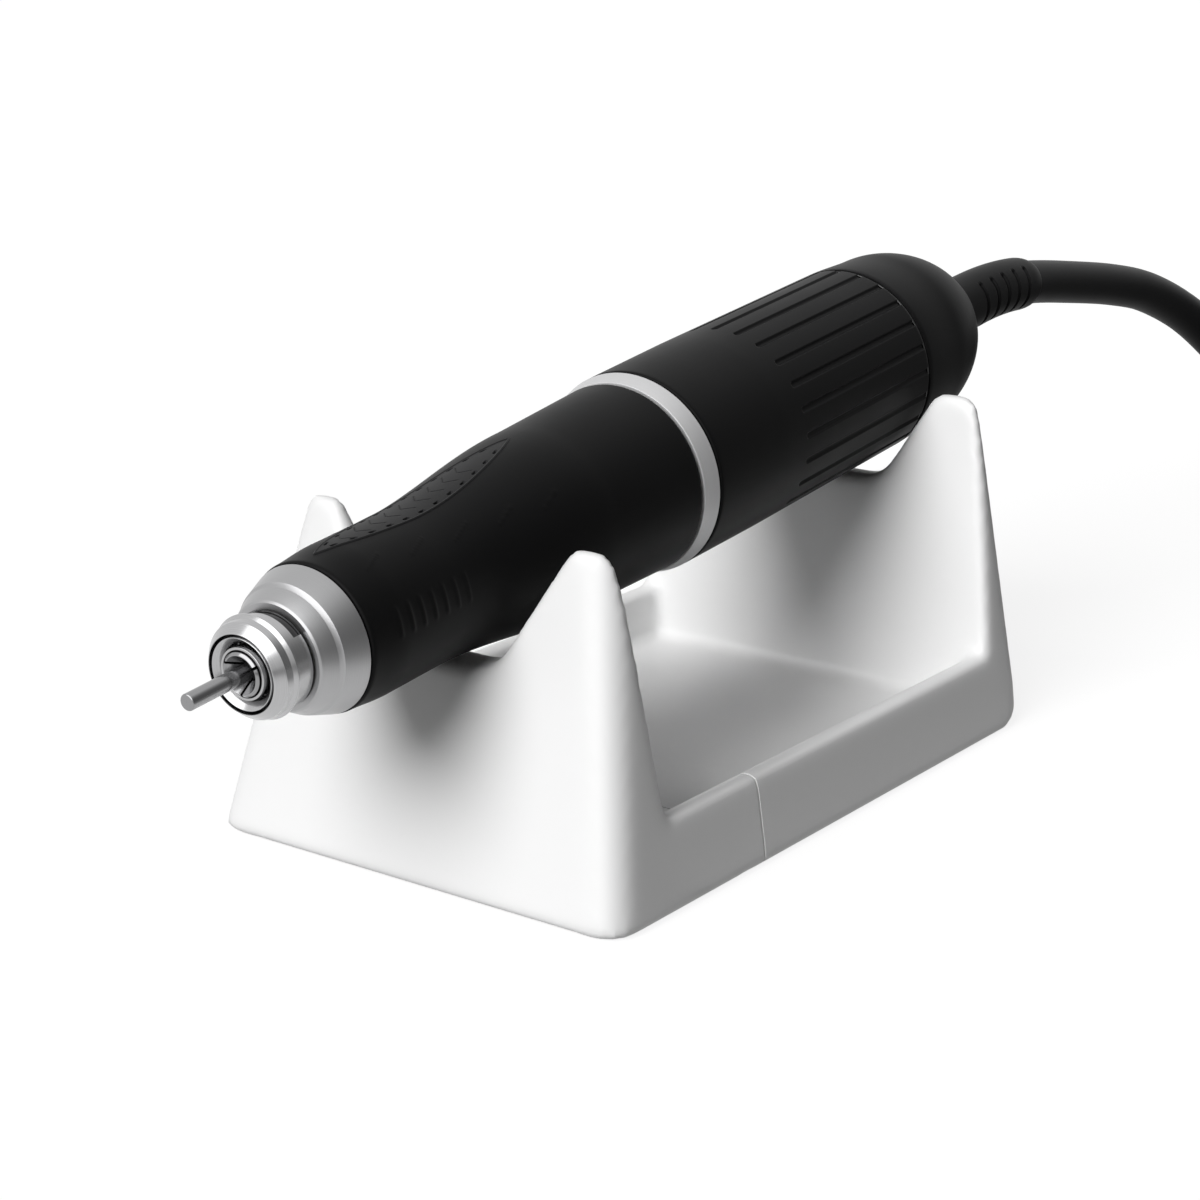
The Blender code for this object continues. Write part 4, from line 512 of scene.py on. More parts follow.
def math_node(tree, operation, first, second=None):
    """A Math node on two values, each a socket or a number; returns its output."""
    node = shader_node(tree, "Math", operation=operation)
    for socket, value in zip(node.inputs, (first, second)):
        if isinstance(value, (int, float)):
            socket.default_value = value
        elif value is not None:
            tree.links.new(value, socket)
    return node.outputs[0]


def about_one(group, noise, swing):
    """A noise as a factor that swings about 1."""
    centred = math_node(group, "SUBTRACT", noise.outputs["Fac"], 0.5)
    return math_node(group, "ADD", math_node(group, "MULTIPLY", centred, swing), 1.0)


def grain_group():
    """Fine moulded or blasted grain: two noises, one for the height and one for the tone."""
    group, given, out = node_group("fine_grain", Scale=3000.0, Tone=0.1)
    fine = shader_node(group, "TexNoise", {"Detail": 3})
    wide = shader_node(group, "TexNoise", {"Scale": CLOUD_SCALE, "Detail": 4})
    link(group, (given.outputs["Vector"], fine.inputs["Vector"]),
         (given.outputs["Scale"], fine.inputs["Scale"]),
         (given.outputs["Vector"], wide.inputs["Vector"]),
         (fine.outputs["Fac"], out.inputs["Height"]),
         (about_one(group, wide, given.outputs["Tone"]), out.inputs["Shade"]))
    return group


def turned_group():
    """Fine rings left by a lathe: a noise that changes along X alone."""
    group, given, out = node_group("turning_marks", Rings=9000.0)
    parts = shader_node(group, "SeparateXYZ")
    noise = shader_node(group, "TexNoise", {"Scale": 1.0, "Detail": 5}, noise_dimensions="1D")
    place = math_node(group, "MULTIPLY", parts.outputs["X"], given.outputs["Rings"])
    link(group, (given.outputs["Vector"], parts.inputs["Vector"]), (place, noise.inputs["W"]),
         (noise.outputs["Fac"], out.inputs["Height"]),
         (about_one(group, noise, TURNED_TONE), out.inputs["Shade"]))
    return group


GRAIN = grain_group()
TURNED = turned_group()


def base_material(name, colour, roughness, metallic, specular):
    """A Principled material: returned with its tree, its shader and coordinates on the axis."""
    material = bpy.data.materials.new(name)
    material.use_nodes = True
    tree = material.node_tree
    shader = tree.nodes["Principled BSDF"]
    for label, value in (("Base Color", (*colour, 1)), ("Roughness", roughness),
                         ("Metallic", metallic), ("Specular IOR Level", specular)):
        shader.inputs[label].default_value = value
    place = shader_node(tree, "TexCoord")
    on_axis = {"Location": tuple(NOSE), "Rotation": (0, -TILT, 0)}
    mapping = shader_node(tree, "Mapping", on_axis, vector_type="TEXTURE")
    link(tree, (place.outputs["Object"], mapping.inputs["Vector"]))
    return material, tree, shader, mapping.outputs["Vector"]


def texture(tree, shader, marks, colour, tone, roughness, strength, depth):
    """Lay a group's marks on a shader: tone on its colour, shade on its roughness, and bump."""
    tint = shader_node(tree, "VectorMath", {0: colour}, operation="SCALE")
    rough = math_node(tree, "MULTIPLY", marks.outputs["Shade"], roughness)
    relief = shader_node(tree, "Bump", {"Strength": strength, "Distance": depth})
    link(tree, (tone, tint.inputs["Scale"]), (tint.outputs[0], shader.inputs["Base Color"]),
         (rough, shader.inputs["Roughness"]), (marks.outputs["Height"], relief.inputs["Height"]),
         (relief.outputs["Normal"], shader.inputs["Normal"]))


def grained(name, colour, roughness, scale, strength, tone=0.1, specular=0.5):
    """Moulded plastic or rubber with a fine grain."""
    material, tree, shader, vector = base_material(name, colour, roughness, 0.0, specular)
    marks = shader_node(tree, "Group", {"Scale": scale, "Tone": tone}, node_tree=GRAIN)
    link(tree, (vector, marks.inputs["Vector"]))
    texture(tree, shader, marks, colour, marks.outputs["Shade"], roughness, strength, GRAIN_DEPTH)
    return material


def metal(name, colour, roughness, rings, strength, hollow=None, metallic=1.0):
    """Turned metal with fine rings round the handpiece axis, darker down in a hollow.

    The hollow, whose darker colour is painted shade, is a place along the axis and a radius: it lies
    behind the one and inside the other.
    """
    material, tree, shader, vector = base_material(name, colour, roughness, metallic, 0.5)
    marks = shader_node(tree, "Group", {"Rings": rings}, node_tree=TURNED)
    link(tree, (vector, marks.inputs["Vector"]))
    tone = marks.outputs["Shade"]
    # Painted shade: the colour is darkened inside the hollow
    if hollow:
        place, radius = hollow
        apart = shader_node(tree, "SeparateXYZ")
        link(tree, (vector, apart.inputs[0]))
        squares = [math_node(tree, "MULTIPLY", apart.outputs[k], apart.outputs[k]) for k in (1, 2)]
        outside = math_node(tree, "GREATER_THAN", math_node(tree, "ADD", *squares), radius ** 2)
        ahead = math_node(tree, "LESS_THAN", apart.outputs[0], place)
        lit = math_node(tree, "MAXIMUM", outside, ahead)
        tone = math_node(tree, "MULTIPLY", tone, math_node(tree, "MAXIMUM", lit, HOLLOW_SHADE_TONE))
    texture(tree, shader, marks, colour, tone, roughness, strength, TURNED_DEPTH)
    return material


# Colour, roughness, scale of the grain, strength of the relief, swing of the tone, specular
GRAINED = {
    "cradle_white": ((0.86, 0.86, 0.86), 0.38, 2500, 0.06, 0.015),
    "soft_black": ((0.0048, 0.0048, 0.005), 0.46, 5200, 0.25, 0.25, 0.07),
    "pad_black": ((0.011, 0.011, 0.0115), 0.5, 5200, 0.25, 0.25, 0.14),
    "cord_jacket": ((0.005, 0.005, 0.0054), 0.42, 3000, 0.12, 0.2, 0.08),
    "board_green": ((0.04, 0.2, 0.08), 0.4, 1500, 0.1),
    "nylon": ((0.8, 0.78, 0.7), 0.45, 2000, 0.1),
    "cage_brown": ((0.35, 0.22, 0.1), 0.5, 2000, 0.2),
}

# Colour, roughness, rings to a metre, strength of the relief, hollow with painted shade, metallic
METALS = {
    "satin_aluminium": ((0.38, 0.38, 0.385), 0.36, 16000, 0.25),
    "ring_aluminium": ((0.6, 0.6, 0.605), 0.5, 16000, 0.25, None, 0.7),
    "polished_steel": ((0.45, 0.45, 0.455), 0.22, 12000, 0.12),
    # Steel with shade painted into the spanner slots
    "slot_shaded_steel": ((0.45, 0.45, 0.455), 0.22, 12000, 0.12, SLOT_SHADE_HOLLOW),
    "jaw_steel": ((0.3, 0.3, 0.305), 0.17, 12000, 0.1),
    # Washer steel darkened as painted shade in the sleeve's groove ends
    "groove_shade_steel": ((0.09, 0.09, 0.09), 0.16, 12000, 0.1),
    "brass": ((0.78, 0.6, 0.3), 0.3, 12000, 0.15),
    "magnet": ((0.2, 0.2, 0.21), 0.35, 6000, 0.1),
    "lamination": ((0.33, 0.33, 0.35), 0.5, 18000, 0.4),
    "copper_winding": ((0.72, 0.33, 0.15), 0.4, 14000, 0.4),
}

MATERIALS = {name: grained(name, *values) for name, values in GRAINED.items()}
MATERIALS |= {name: metal(name, *values) for name, values in METALS.items()}


def dress_frame():
    """Give every CAD node that stays the material of its slot."""
    for entry in frame["record"]["subparts"]:
        mesh = frame["nodes"][entry["node"]].data
        mesh.materials.clear()
        mesh.materials.append(MATERIALS[entry["material_slot"]])


# Cradle

def even_skin(meshes, size):
    """The union of closed meshes, on an even grid of quads."""
    work = bmesh.new()
    for mesh in meshes:
        work.from_mesh(mesh)
    bmesh.ops.remove_doubles(work, verts=work.verts, dist=MERGE)
    rough = bpy.data.meshes.new("joined")
    work.to_mesh(rough)
    work.free()
    holder = bpy.data.objects.new("holder", rough)
    bpy.context.scene.collection.objects.link(holder)
    grid = holder.modifiers.new("grid", "REMESH")
    grid.mode = "VOXEL"
    grid.voxel_size = size
    found = holder.evaluated_get(bpy.context.evaluated_depsgraph_get())
    even = bpy.data.meshes.new_from_object(found)
    bpy.data.objects.remove(holder)
    return even


def stretch(mesh, low, high):
    """Bring a mesh's box to the given one: each coordinate is scaled on its own."""
    points = np.empty(len(mesh.vertices) * 3)
    mesh.vertices.foreach_get("co", points)
    points = points.reshape(-1, 3)
    least = points.min(axis=0)
    share = (points - least) / (points.max(axis=0) - least)
    points = np.array(low) + share * (np.array(high) - np.array(low))
    mesh.vertices.foreach_set("co", points.ravel())
    mesh.update()


def relax(mesh, turns):
    """Move each point half way to the mean of its neighbours, turns(points) times over.

    A flat face keeps its place, and an edge or corner is worn round, inside and out.
    """
    count = len(mesh.vertices)
    points = np.empty(count * 3)
    mesh.vertices.foreach_get("co", points)
    points = points.reshape(-1, 3)
    ends = np.empty(len(mesh.edges) * 2, dtype=np.int32)
    mesh.edges.foreach_get("vertices", ends)
    near = np.concatenate((ends[0::2], ends[1::2]))
    far = np.concatenate((ends[1::2], ends[0::2]))
    degree = np.bincount(near, minlength=count)[:, None]
    last = turns(points)
    for turn in range(int(last.max())):
        total = np.stack([np.bincount(near, points[far, k], count) for k in range(3)], axis=1)
        moving = last > turn
        points[moving] += (total / degree - points)[moving] / 2
    mesh.vertices.foreach_set("co", points.ravel())
    mesh.update()


def seam_half(whole, sign, seam):
    """One side of the relaxed skin, closed at the seam, with a fine chamfer round its end."""
    work = bmesh.new()
    work.from_mesh(whole)
    for place, cut in ((seam - sign * SEAM_CHAMFER, False), (seam - sign * SEAM_GAP, True)):
        found = bmesh.ops.bisect_plane(
            work, geom=work.verts[:] + work.edges[:] + work.faces[:], dist=TOUCH,
            plane_co=(place, 0, 0), plane_no=(sign, 0, 0), clear_outer=cut)
    rim = found["geom_cut"]
    work.normal_update()
    for vertex in [part for part in rim if isinstance(part, bmesh.types.BMVert)]:
        inward = Vector((0, vertex.normal.y, vertex.normal.z))
        vertex.co -= inward.normalized() * SEAM_CHAMFER / 2
    edges = [part for part in rim if isinstance(part, bmesh.types.BMEdge)]
    bmesh.ops.holes_fill(work, edges=edges)
    bmesh.ops.recalc_face_normals(work, faces=work.faces)
    mesh = bpy.data.meshes.new("half")
    work.to_mesh(mesh)
    work.free()
    return mesh


def build_cradle():
    """The two mouldings: solids joined at the seam, worn round at every edge, parted again."""
    nodes = ("cradle_front", "cradle_rear")
    boxes = [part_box(node) for node in nodes]
    seam = (boxes[0][1][0] + boxes[1][0][0]) / 2
    low = np.min([box[0] for box in boxes], axis=0)
    high = np.max([box[1] for box in boxes], axis=0)
    halves = []
    for node, sign in zip(nodes, (1, -1)):
        work = bmesh.new()
        work.from_mesh(frame["nodes"][node].data)
        bmesh.ops.remove_doubles(work, verts=work.verts, dist=MERGE)
        for vertex in work.verts:
            if abs(vertex.co.x - seam) < SEAM_REACH:
                vertex.co.x = seam + sign * CRADLE_GRID
        halves.append(bpy.data.meshes.new("half"))
        work.to_mesh(halves[-1])
        work.free()

    def turns(points):
        back = np.clip((points[:, 0] - high[0] + FOOT_REACH) / FOOT_FADE, 0, 1)
        foot = np.clip((FOOT_REACH - points[:, 2]) / FOOT_FADE, 0, 1)
        return CRADLE_FINISH + back * foot * FOOT_WEAR

    fine = even_skin(halves, CRADLE_FINE_GRID)
    relax(fine, lambda points: np.full(len(points), CRADLE_WEAR))
    worn = even_skin([fine], CRADLE_GRID)
    relax(worn, turns)
    stretch(worn, low, high)
    for node, sign in zip(nodes, (1, -1)):
        add(node + "_moulding", seam_half(worn, sign, seam), "cradle_white", "cradle", node,
            sharp=50)


# Nose

def build_nose():
    """Insert, nose ring with its spanner slots, and cone."""
    end = reach("nose_insert")[1]
    insert = rounded([
        (0.0, INSERT_RADIUS - INSERT_CHAMFER / 2, 0.06 * MM),
        (INSERT_CHAMFER / 2, INSERT_RADIUS - INSERT_CHAMFER / 4),
        (INSERT_CHAMFER, INSERT_RADIUS), (end, INSERT_RADIUS),
        (end, NOSE_MOUTH), (INSERT_FLARE, NOSE_MOUTH, 0.15 * MM),
    ])
    add("nose_insert_fine", lathe(insert), "polished_steel", "housing", "nose_insert")

    end = reach("nose_ring")[1]
    seat = CONE_FRONT - RING_THREAD_DEPTH
    ring = rounded([
        (0.0, RING_FACE, 0.05 * MM), (RING_FACE_LENGTH, RING_FACE + RING_FACE_RISE, 0.25 * MM),
        (RING_BEVEL_LENGTH - 0.75 * MM, RING_BEVEL_RADIUS - 0.42 * MM, 0.08 * MM),
        (RING_BEVEL_LENGTH - 0.2 * MM, RING_BEVEL_RADIUS, 0.08 * MM),
        (RING_BEVEL_LENGTH, RING_BEVEL_RADIUS, 0.04 * MM),
        (RING_BEVEL_LENGTH + 0.15 * MM, RING_BAND, 0.05 * MM), (end, RING_BAND, 0.08 * MM),
        (end, seat), (RING_THREAD_PLACE, seat), (RING_THREAD_PLACE, RING_BORE), (0.0, RING_BORE),
    ])
    ring = spaced(ring, RING_SPACING)
    slot_middle = end - SPANNER_WIDTH / 2
    slot_start, slot_end = SPANNER_TURNS

    def slots(along, radius, angle):
        inside = (angle - slot_start) % math.pi < slot_end - slot_start
        near = np.abs(along - slot_middle) <= SPANNER_WIDTH / 2
        return -SPANNER_DEPTH * (inside & near & (radius > RING_BAND - 0.1 * MM))

    sides = np.array([turn + half for turn in SPANNER_TURNS for half in (0, math.pi)])
    sides = np.concatenate([sides - SPANNER_SIDE, sides + SPANNER_SIDE]) % TURN
    turns = np.sort(np.concatenate([np.linspace(0, TURN, ROUND, endpoint=False), sides]))
    # The ring's steel has shade painted into its spanner slots
    add("nose_ring_fine", lathe(ring, relief=slots, turns=turns), "slot_shaded_steel", "housing",
        "nose_ring")

    front = end + SEAT_GAP
    rear = reach("grip_sleeve")[0] - SEAT_GAP
    step = front + CONE_STEP_PLACE
    cone = rounded([
        (front, CONE_FRONT - CONE_WALL), (front, CONE_FRONT - 0.25 * MM, 0.03 * MM),
        (front + 0.28 * MM, CONE_FRONT + 0.02 * MM, 0.05 * MM),
        (step - 0.22 * MM, CONE_STEP - 0.08 * MM, 0.03 * MM),
        (step - 0.12 * MM, CONE_STEP - 0.24 * MM), (step, CONE_STEP - 0.2 * MM),
        (step + 0.5 * MM, CONE_STEP + CONE_STEP_RISE, 0.06 * MM),
        (rear, CONE_REAR, 0.12 * MM), (rear, CONE_REAR - CONE_REAR_WALL),
    ])
    add("nose_cone_fine", lathe(cone), "satin_aluminium", "housing", "nose_cone")


# Grip

def grip_radius(along):
    """Outer radius of the grip: slim front, waist, swell and taper, joined by smooth steps."""
    first, last, _ = reach("grip_sleeve")
    share = (along - first) / (last - first)
    front = GRIP_FRONT + (GRIP_WAIST - GRIP_FRONT) * smooth(share / GRIP_FLARE_SHARE)
    swell = smooth((share - GRIP_SWELL_START) / (GRIP_SWELL_END - GRIP_SWELL_START))
    rise = np.clip((share - GRIP_SWELL_END) / (1 - GRIP_SWELL_END), 0, 1)
    return front + (GRIP_SHOULDER - GRIP_WAIST) * swell + (GRIP_REAR - GRIP_SHOULDER) * rise


def pad_half_width(share):
    """Half width of the pad along its length: a leaf, widest in the middle."""
    share = np.clip(share, 0, 1)
    leaf = PAD_HALF_WIDTH * (1 - (2 * share - 1) ** 2) ** PAD_POWER
    return np.maximum(PAD_TIP, leaf)


def capsule(x, y, half_length, half_width):
    """Distance inside a round-ended slot, 1 on its middle line and 0 at its edge."""
    beyond = np.maximum(np.abs(x) - (half_length - half_width), 0)
    return np.clip(1 - np.hypot(beyond, y) / half_width, 0, 1)


def panel_relief(along, angle, surface):
    """Low ribs and streaks on the grip's two side panels."""
    first = reach("grip_sleeve")[0]
    height = np.zeros_like(along)
    for side in (1, -1):
        turn = off(angle, PAD_TURN + side * PANEL_TURN) * side
        window = smooth((RIB_HALF_TURN - np.abs(turn - RIB_SHIFT)) / RIB_FADE)
        place = (along - first - RIB_START) / RIB_PITCH
        inside = (place > -0.5) & (place < RIB_COUNT - 0.5)
        wave = np.clip(1 - np.abs(place - np.round(place)) * RIB_PITCH / RIB_HALF_WIDTH, 0, 1)
        height = height + RIB_HEIGHT * smooth(wave) * window * inside
        beside = off(angle, PAD_TURN) * side
        for i in range(STREAK_COUNT):
            x = along - first - STREAK_START - i * STREAK_PITCH
            y = (beside - STREAK_TURN - i * STREAK_TURN_STEP) * surface + STREAK_SLANT * x
            streak = capsule(x, y, STREAK_HALF_LENGTH, STREAK_HALF_WIDTH)
            height = height + STREAK_HEIGHT * streak
    return height


def pad_ends():
    """First and last place of the pad along the axis."""
    first = reach("grip_sleeve")[0] + PAD_FRONT
    return first, first + PAD_LENGTH


def build_grip():
    """Soft sleeve whose grid follows the pad's outline, with a pocket for the pad."""
    first, last, _ = reach("grip_sleeve")
    pad_first, pad_last = pad_ends()
    lip = np.linspace(0, math.pi / 2, 5)
    rows = np.unique(np.concatenate([
        first + GRIP_LIP * (1 - np.cos(lip))[:-1],
        np.arange(first + GRIP_LIP, pad_first - PAD_GAP, 2 * FINE),
        pad_first - PAD_GAP + np.array([0, POCKET_WALL]),
        np.arange(pad_first, pad_last, FINE),
        pad_last + PAD_GAP + np.array([-POCKET_WALL, 0]),
        np.arange(pad_last + 2 * PAD_GAP, last - GRIP_LIP, 5 * FINE),
        last - GRIP_LIP * np.cos(lip),
    ]))
    from_front = np.clip((first + GRIP_LIP - rows) / GRIP_LIP, 0, 1)
    from_rear = np.clip((rows - last + GRIP_LIP) / GRIP_LIP, 0, 1)
    lips = np.sqrt(1 - from_front ** 2) * np.sqrt(1 - from_rear ** 2)
    surface = grip_radius(rows) - GRIP_LIP * (1 - lips)

    within = (rows > pad_first - PAD_GAP) & (rows < pad_last + PAD_GAP)
    half = (pad_half_width((rows - pad_first) / PAD_LENGTH) + PAD_GAP) / surface
    zone = np.concatenate([[-1, -1 + 1e-3], np.linspace(-0.95, 0.95, 9), [1 - 1e-3, 1]])
    side = np.linspace(0, 1, GRIP_SIDES)[1:-1]
    angle_zone = PAD_TURN + half[:, None] * zone
    angle_side = PAD_TURN + half[:, None] + (TURN - 2 * half[:, None]) * side
    angle = np.hstack([angle_zone, angle_side])
    columns = angle.shape[1]
    along = np.repeat(rows[:, None], columns, 1)
    radius = np.repeat(surface[:, None], columns, 1)
    pocket = np.zeros(columns, bool)
    pocket[1:len(zone) - 1] = True
    radius = radius + panel_relief(along, angle, radius)
    radius = radius - (PAD_DEEP + POCKET_FLOOR_GAP) * (pocket[None] & within[:, None])

    bore = reach("spindle_housing")[2] + 2 * SEAT_GAP
    inner_along = np.repeat([[last], [first]], columns, 1)
    inner_radius = np.repeat([[bore], [GRIP_FRONT_BORE]], columns, 1)
    points = around(HANDPIECE, np.vstack([along, inner_along]), np.vstack([radius, inner_radius]),
                    np.vstack([angle, angle[-1], angle[0]]))
    add("grip_sleeve_fine", skin(points, True, True), "soft_black", "housing", "grip_sleeve",
        sharp=40)


def pad_dashes(local, across):
    """Height taken off the pad by its two rows of short slots beside the rim."""
    height = np.zeros_like(local)
    for i in range(DASH_COUNT):
        x0 = DASH_START + DASH_PITCH * i
        width, ahead = pad_half_width(np.array([x0, x0 + MM]) / PAD_LENGTH)
        y0 = width - DASH_INSET
        if y0 < DASH_HALF_WIDTH:
            continue
        x = local - x0
        y = np.abs(across) - y0 - (ahead - width) / MM * x
        slot = capsule(x, y, DASH_HALF_LENGTH, DASH_HALF_WIDTH)
        height = height + DASH_DEPTH * smooth(slot * DASH_STEEP)
    return height


def pad_chevrons(local, across, edge):
    """Height taken off the pad by its row of creased arrowheads."""
    height = np.zeros_like(local)
    for i in range(CHEVRON_COUNT):
        x = local - CHEVRON_START - DASH_PITCH * i - CHEVRON_SWEEP * np.abs(across)
        crease = np.clip(1 - np.abs(x) / CHEVRON_HALF_WIDTH, 0, 1)
        crease = smooth(crease * (np.abs(across) < CHEVRON_REACH))
        height = height + CHEVRON_DEPTH * crease * smooth((edge - CHEVRON_EDGE) / CHEVRON_FADE)
    return height


def build_pad():
    """The leaf-shaped pad on top of the grip, with its rim, slots and arrowheads."""
    pad_first, pad_last = pad_ends()
    rows = np.arange(pad_first, pad_last + FINE / 4, FINE / 2)
    half = pad_half_width((rows - pad_first) / PAD_LENGTH)
    surface = grip_radius(rows)
    lane = np.sin(np.linspace(-1, 1, PAD_LANES) * math.pi / 2)
    across = half[:, None] * lane
    along = np.repeat(rows[:, None], len(lane), 1)
    local = along - pad_first
    edge = np.minimum(half[:, None] - np.abs(across), np.minimum(local, pad_last - along))
    drop = 1 - np.sqrt(1 - (1 - np.clip(edge / PAD_EDGE, 0, 1)) ** 2)
    rim = np.clip(1 - np.abs(edge - PAD_RIM_INSET) / PAD_RIM_HALF_WIDTH, 0, 1)
    height = PAD_PROUD - PAD_EDGE * drop + PAD_RIM_HEIGHT * smooth(rim)
    height = height - pad_dashes(local, across) - pad_chevrons(local, across, edge)
    radius = surface[:, None] + height
    angle = PAD_TURN + across / surface[:, None]
    under = surface[:, None] - PAD_DEEP
    radius = np.hstack([under, radius, under])
    angle = np.hstack([angle[:, :1], angle, angle[:, -1:]])
    along = np.hstack([along[:, :1], along, along[:, -1:]])
    sheet = around(HANDPIECE, along, radius, angle)
    front, back = sheet[:1].mean(1, keepdims=True), sheet[-1:].mean(1, keepdims=True)
    columns = sheet.shape[1]
    sheet = np.vstack([front.repeat(columns, 1), sheet, back.repeat(columns, 1)])
    add("grip_pad_fine", weld(skin(sheet, False, True)), "pad_black", "housing", "grip_pad",
        sharp=60)


# Ring, sleeve and cap

def build_ring():
    """Bright ring between the grip and the sleeve."""
    start, end, outer = reach("mid_ring")
    ring = rounded([
        (start, MID_FRONT, 0.08 * MM), (end - 0.35 * MM, outer, 0.15 * MM),
        (end, outer - 0.3 * MM, 0.1 * MM), (end, MID_BORE), (start, MID_BORE),
    ])
    add("mid_ring_fine", lathe(ring), "ring_aluminium", "housing", "mid_ring")


def sleeve_outline(start, end, groove):
    """Outline of the sleeve, with more points where the grooves begin and a few between."""
    outline = rounded([
        (start, SLEEVE_FRONT, 0.45 * MM), (start + SLEEVE_TAPER * (end - start), SLEEVE_RADIUS),
        (end, SLEEVE_RADIUS, 0.12 * MM), (end, SLEEVE_BORE), (start, SLEEVE_BORE),
    ])
    extra = np.concatenate([
        np.linspace(start + 1 * MM, groove - 1 * MM, 16),
        np.linspace(groove - 0.3 * MM, groove + 2.2 * MM, 22),
        np.linspace(groove + 3 * MM, end - 0.5 * MM, 16),
    ])
    inner = outline[outline[:, 1] < SLEEVE_OUTSIDE]
    outer = outline[outline[:, 1] >= SLEEVE_OUTSIDE]
    outer = outer[np.argsort(outer[:, 0], kind="stable")]
    along = np.sort(np.concatenate([outer[:, 0], extra]))
    surface = np.interp(along, outer[:, 0], outer[:, 1])
    return np.vstack([np.stack([along, surface], 1), inner[np.argsort(-inner[:, 0])]])


def build_sleeve():
    """The sleeve with its round-ended finger grooves, and the washer behind it."""
    start, end, _ = reach("twist_sleeve")
    groove = end - GROOVE_LENGTH
    pitch = TURN / GROOVES
    spread = GROOVE_SPREAD * GROOVE_HALF_WIDTH / SLEEVE_RADIUS
    inside = np.sin(np.linspace(-1, 1, 15) * math.pi / 2) * spread
    gap = np.linspace(inside[-1], pitch + inside[0], 6)[1:-1]
    one = np.concatenate([inside, gap])
    turns = (GROOVE_PHASE + pitch * np.arange(GROOVES)[:, None] + one[None]).reshape(-1)

    def grooves(along, radius, angle):
        nearest = off(angle, GROOVE_PHASE + pitch * np.round((angle - GROOVE_PHASE) / pitch))
        before = np.maximum(groove + GROOVE_HALF_WIDTH - along, 0)
        away = np.hypot(nearest * radius, before) / GROOVE_HALF_WIDTH
        cut = 1 - smooth((away - GROOVE_FLAT) / GROOVE_WALL)
        return -GROOVE_DEPTH * cut * (radius > SLEEVE_OUTSIDE)

    outline = sleeve_outline(start, end, groove)
    start, end, outer = reach("sleeve_washer")
    washer = rounded([
        (start, WASHER_BORE), (start, outer, 0.04 * MM), (end, outer, 0.04 * MM),
        (end, WASHER_BORE),
    ])
    # The washer's dark colour is painted shade where it shows in the groove ends
    add("sleeve_washer_fine", lathe(washer), "groove_shade_steel", "housing", "sleeve_washer")
    add("twist_sleeve_fine", lathe(outline, relief=grooves, turns=turns), "soft_black",
        "chuck_sleeve", "twist_sleeve", sharp=40)


def build_cap():
    """Domed rear cap: a slow taper and then a blunt superellipse, ending in a rounded hole."""
    start, end, _ = reach("rear_cap")
    dome = start + CAP_STRAIGHT
    straight = np.linspace(start + CAP_CHAMFER_LENGTH, dome, 14)
    taper = (CAP_REAR - SLEEVE_RADIUS) * smooth((straight - start) / CAP_STRAIGHT)
    first = np.stack([straight, SLEEVE_RADIUS + taper], 1)
    last = (end - dome) / CAP_DOME_LENGTH
    share = last * np.sin(np.linspace(0, math.pi / 2, 40))[1:]
    curve = np.stack([
        dome + CAP_DOME_LENGTH * share,
        CAP_REAR * (1 - share ** CAP_POWER) ** (1 / CAP_POWER),
    ], 1)
    hole = curve[-1, 1] - CAP_HOLE_LIP
    rest = np.array([
        (end - 0.2 * MM, hole), (end - CAP_HOLE_DEPTH, hole), (end - CAP_HOLE_DEPTH, CAP_BACK_BORE),
        (dome, CAP_BORE), (start, SLEEVE_BORE), (start, SLEEVE_RADIUS - 0.2 * MM),
        (start + 0.06 * MM, SLEEVE_RADIUS - 0.06 * MM),
    ])
    outline = np.vstack([first, curve, rest])
    add("rear_cap_fine", lathe(outline), "soft_black", "housing", "rear_cap", sharp=40)


# Strain relief, cord and plug

BOOT_START = NOSE + AXIS * reach("rear_cap")[1]


def boot_line(distance):
    """Points on the strain relief's centre line and their headings: straight, then a round bend."""
    radius = (BOOT_LENGTH - BOOT_STRAIGHT) / BOOT_BEND
    straight = np.minimum(distance, BOOT_STRAIGHT)
    heading = TILT - np.maximum(distance - BOOT_STRAIGHT, 0) / radius
    x = radius * (math.sin(TILT) - np.sin(heading))
    z = radius * (np.cos(heading) - math.cos(TILT))
    bend = np.stack([x, np.zeros_like(x), z], -1)
    return BOOT_START + AXIS * straight[:, None] + bend, heading


def closed_tube(line, rings):
    """Rings round a line, with a point of the line before the first and after the last."""
    first, last = (line[end, None, None].repeat(rings.shape[1], 1) for end in (0, -1))
    return np.vstack([first, rings, last])


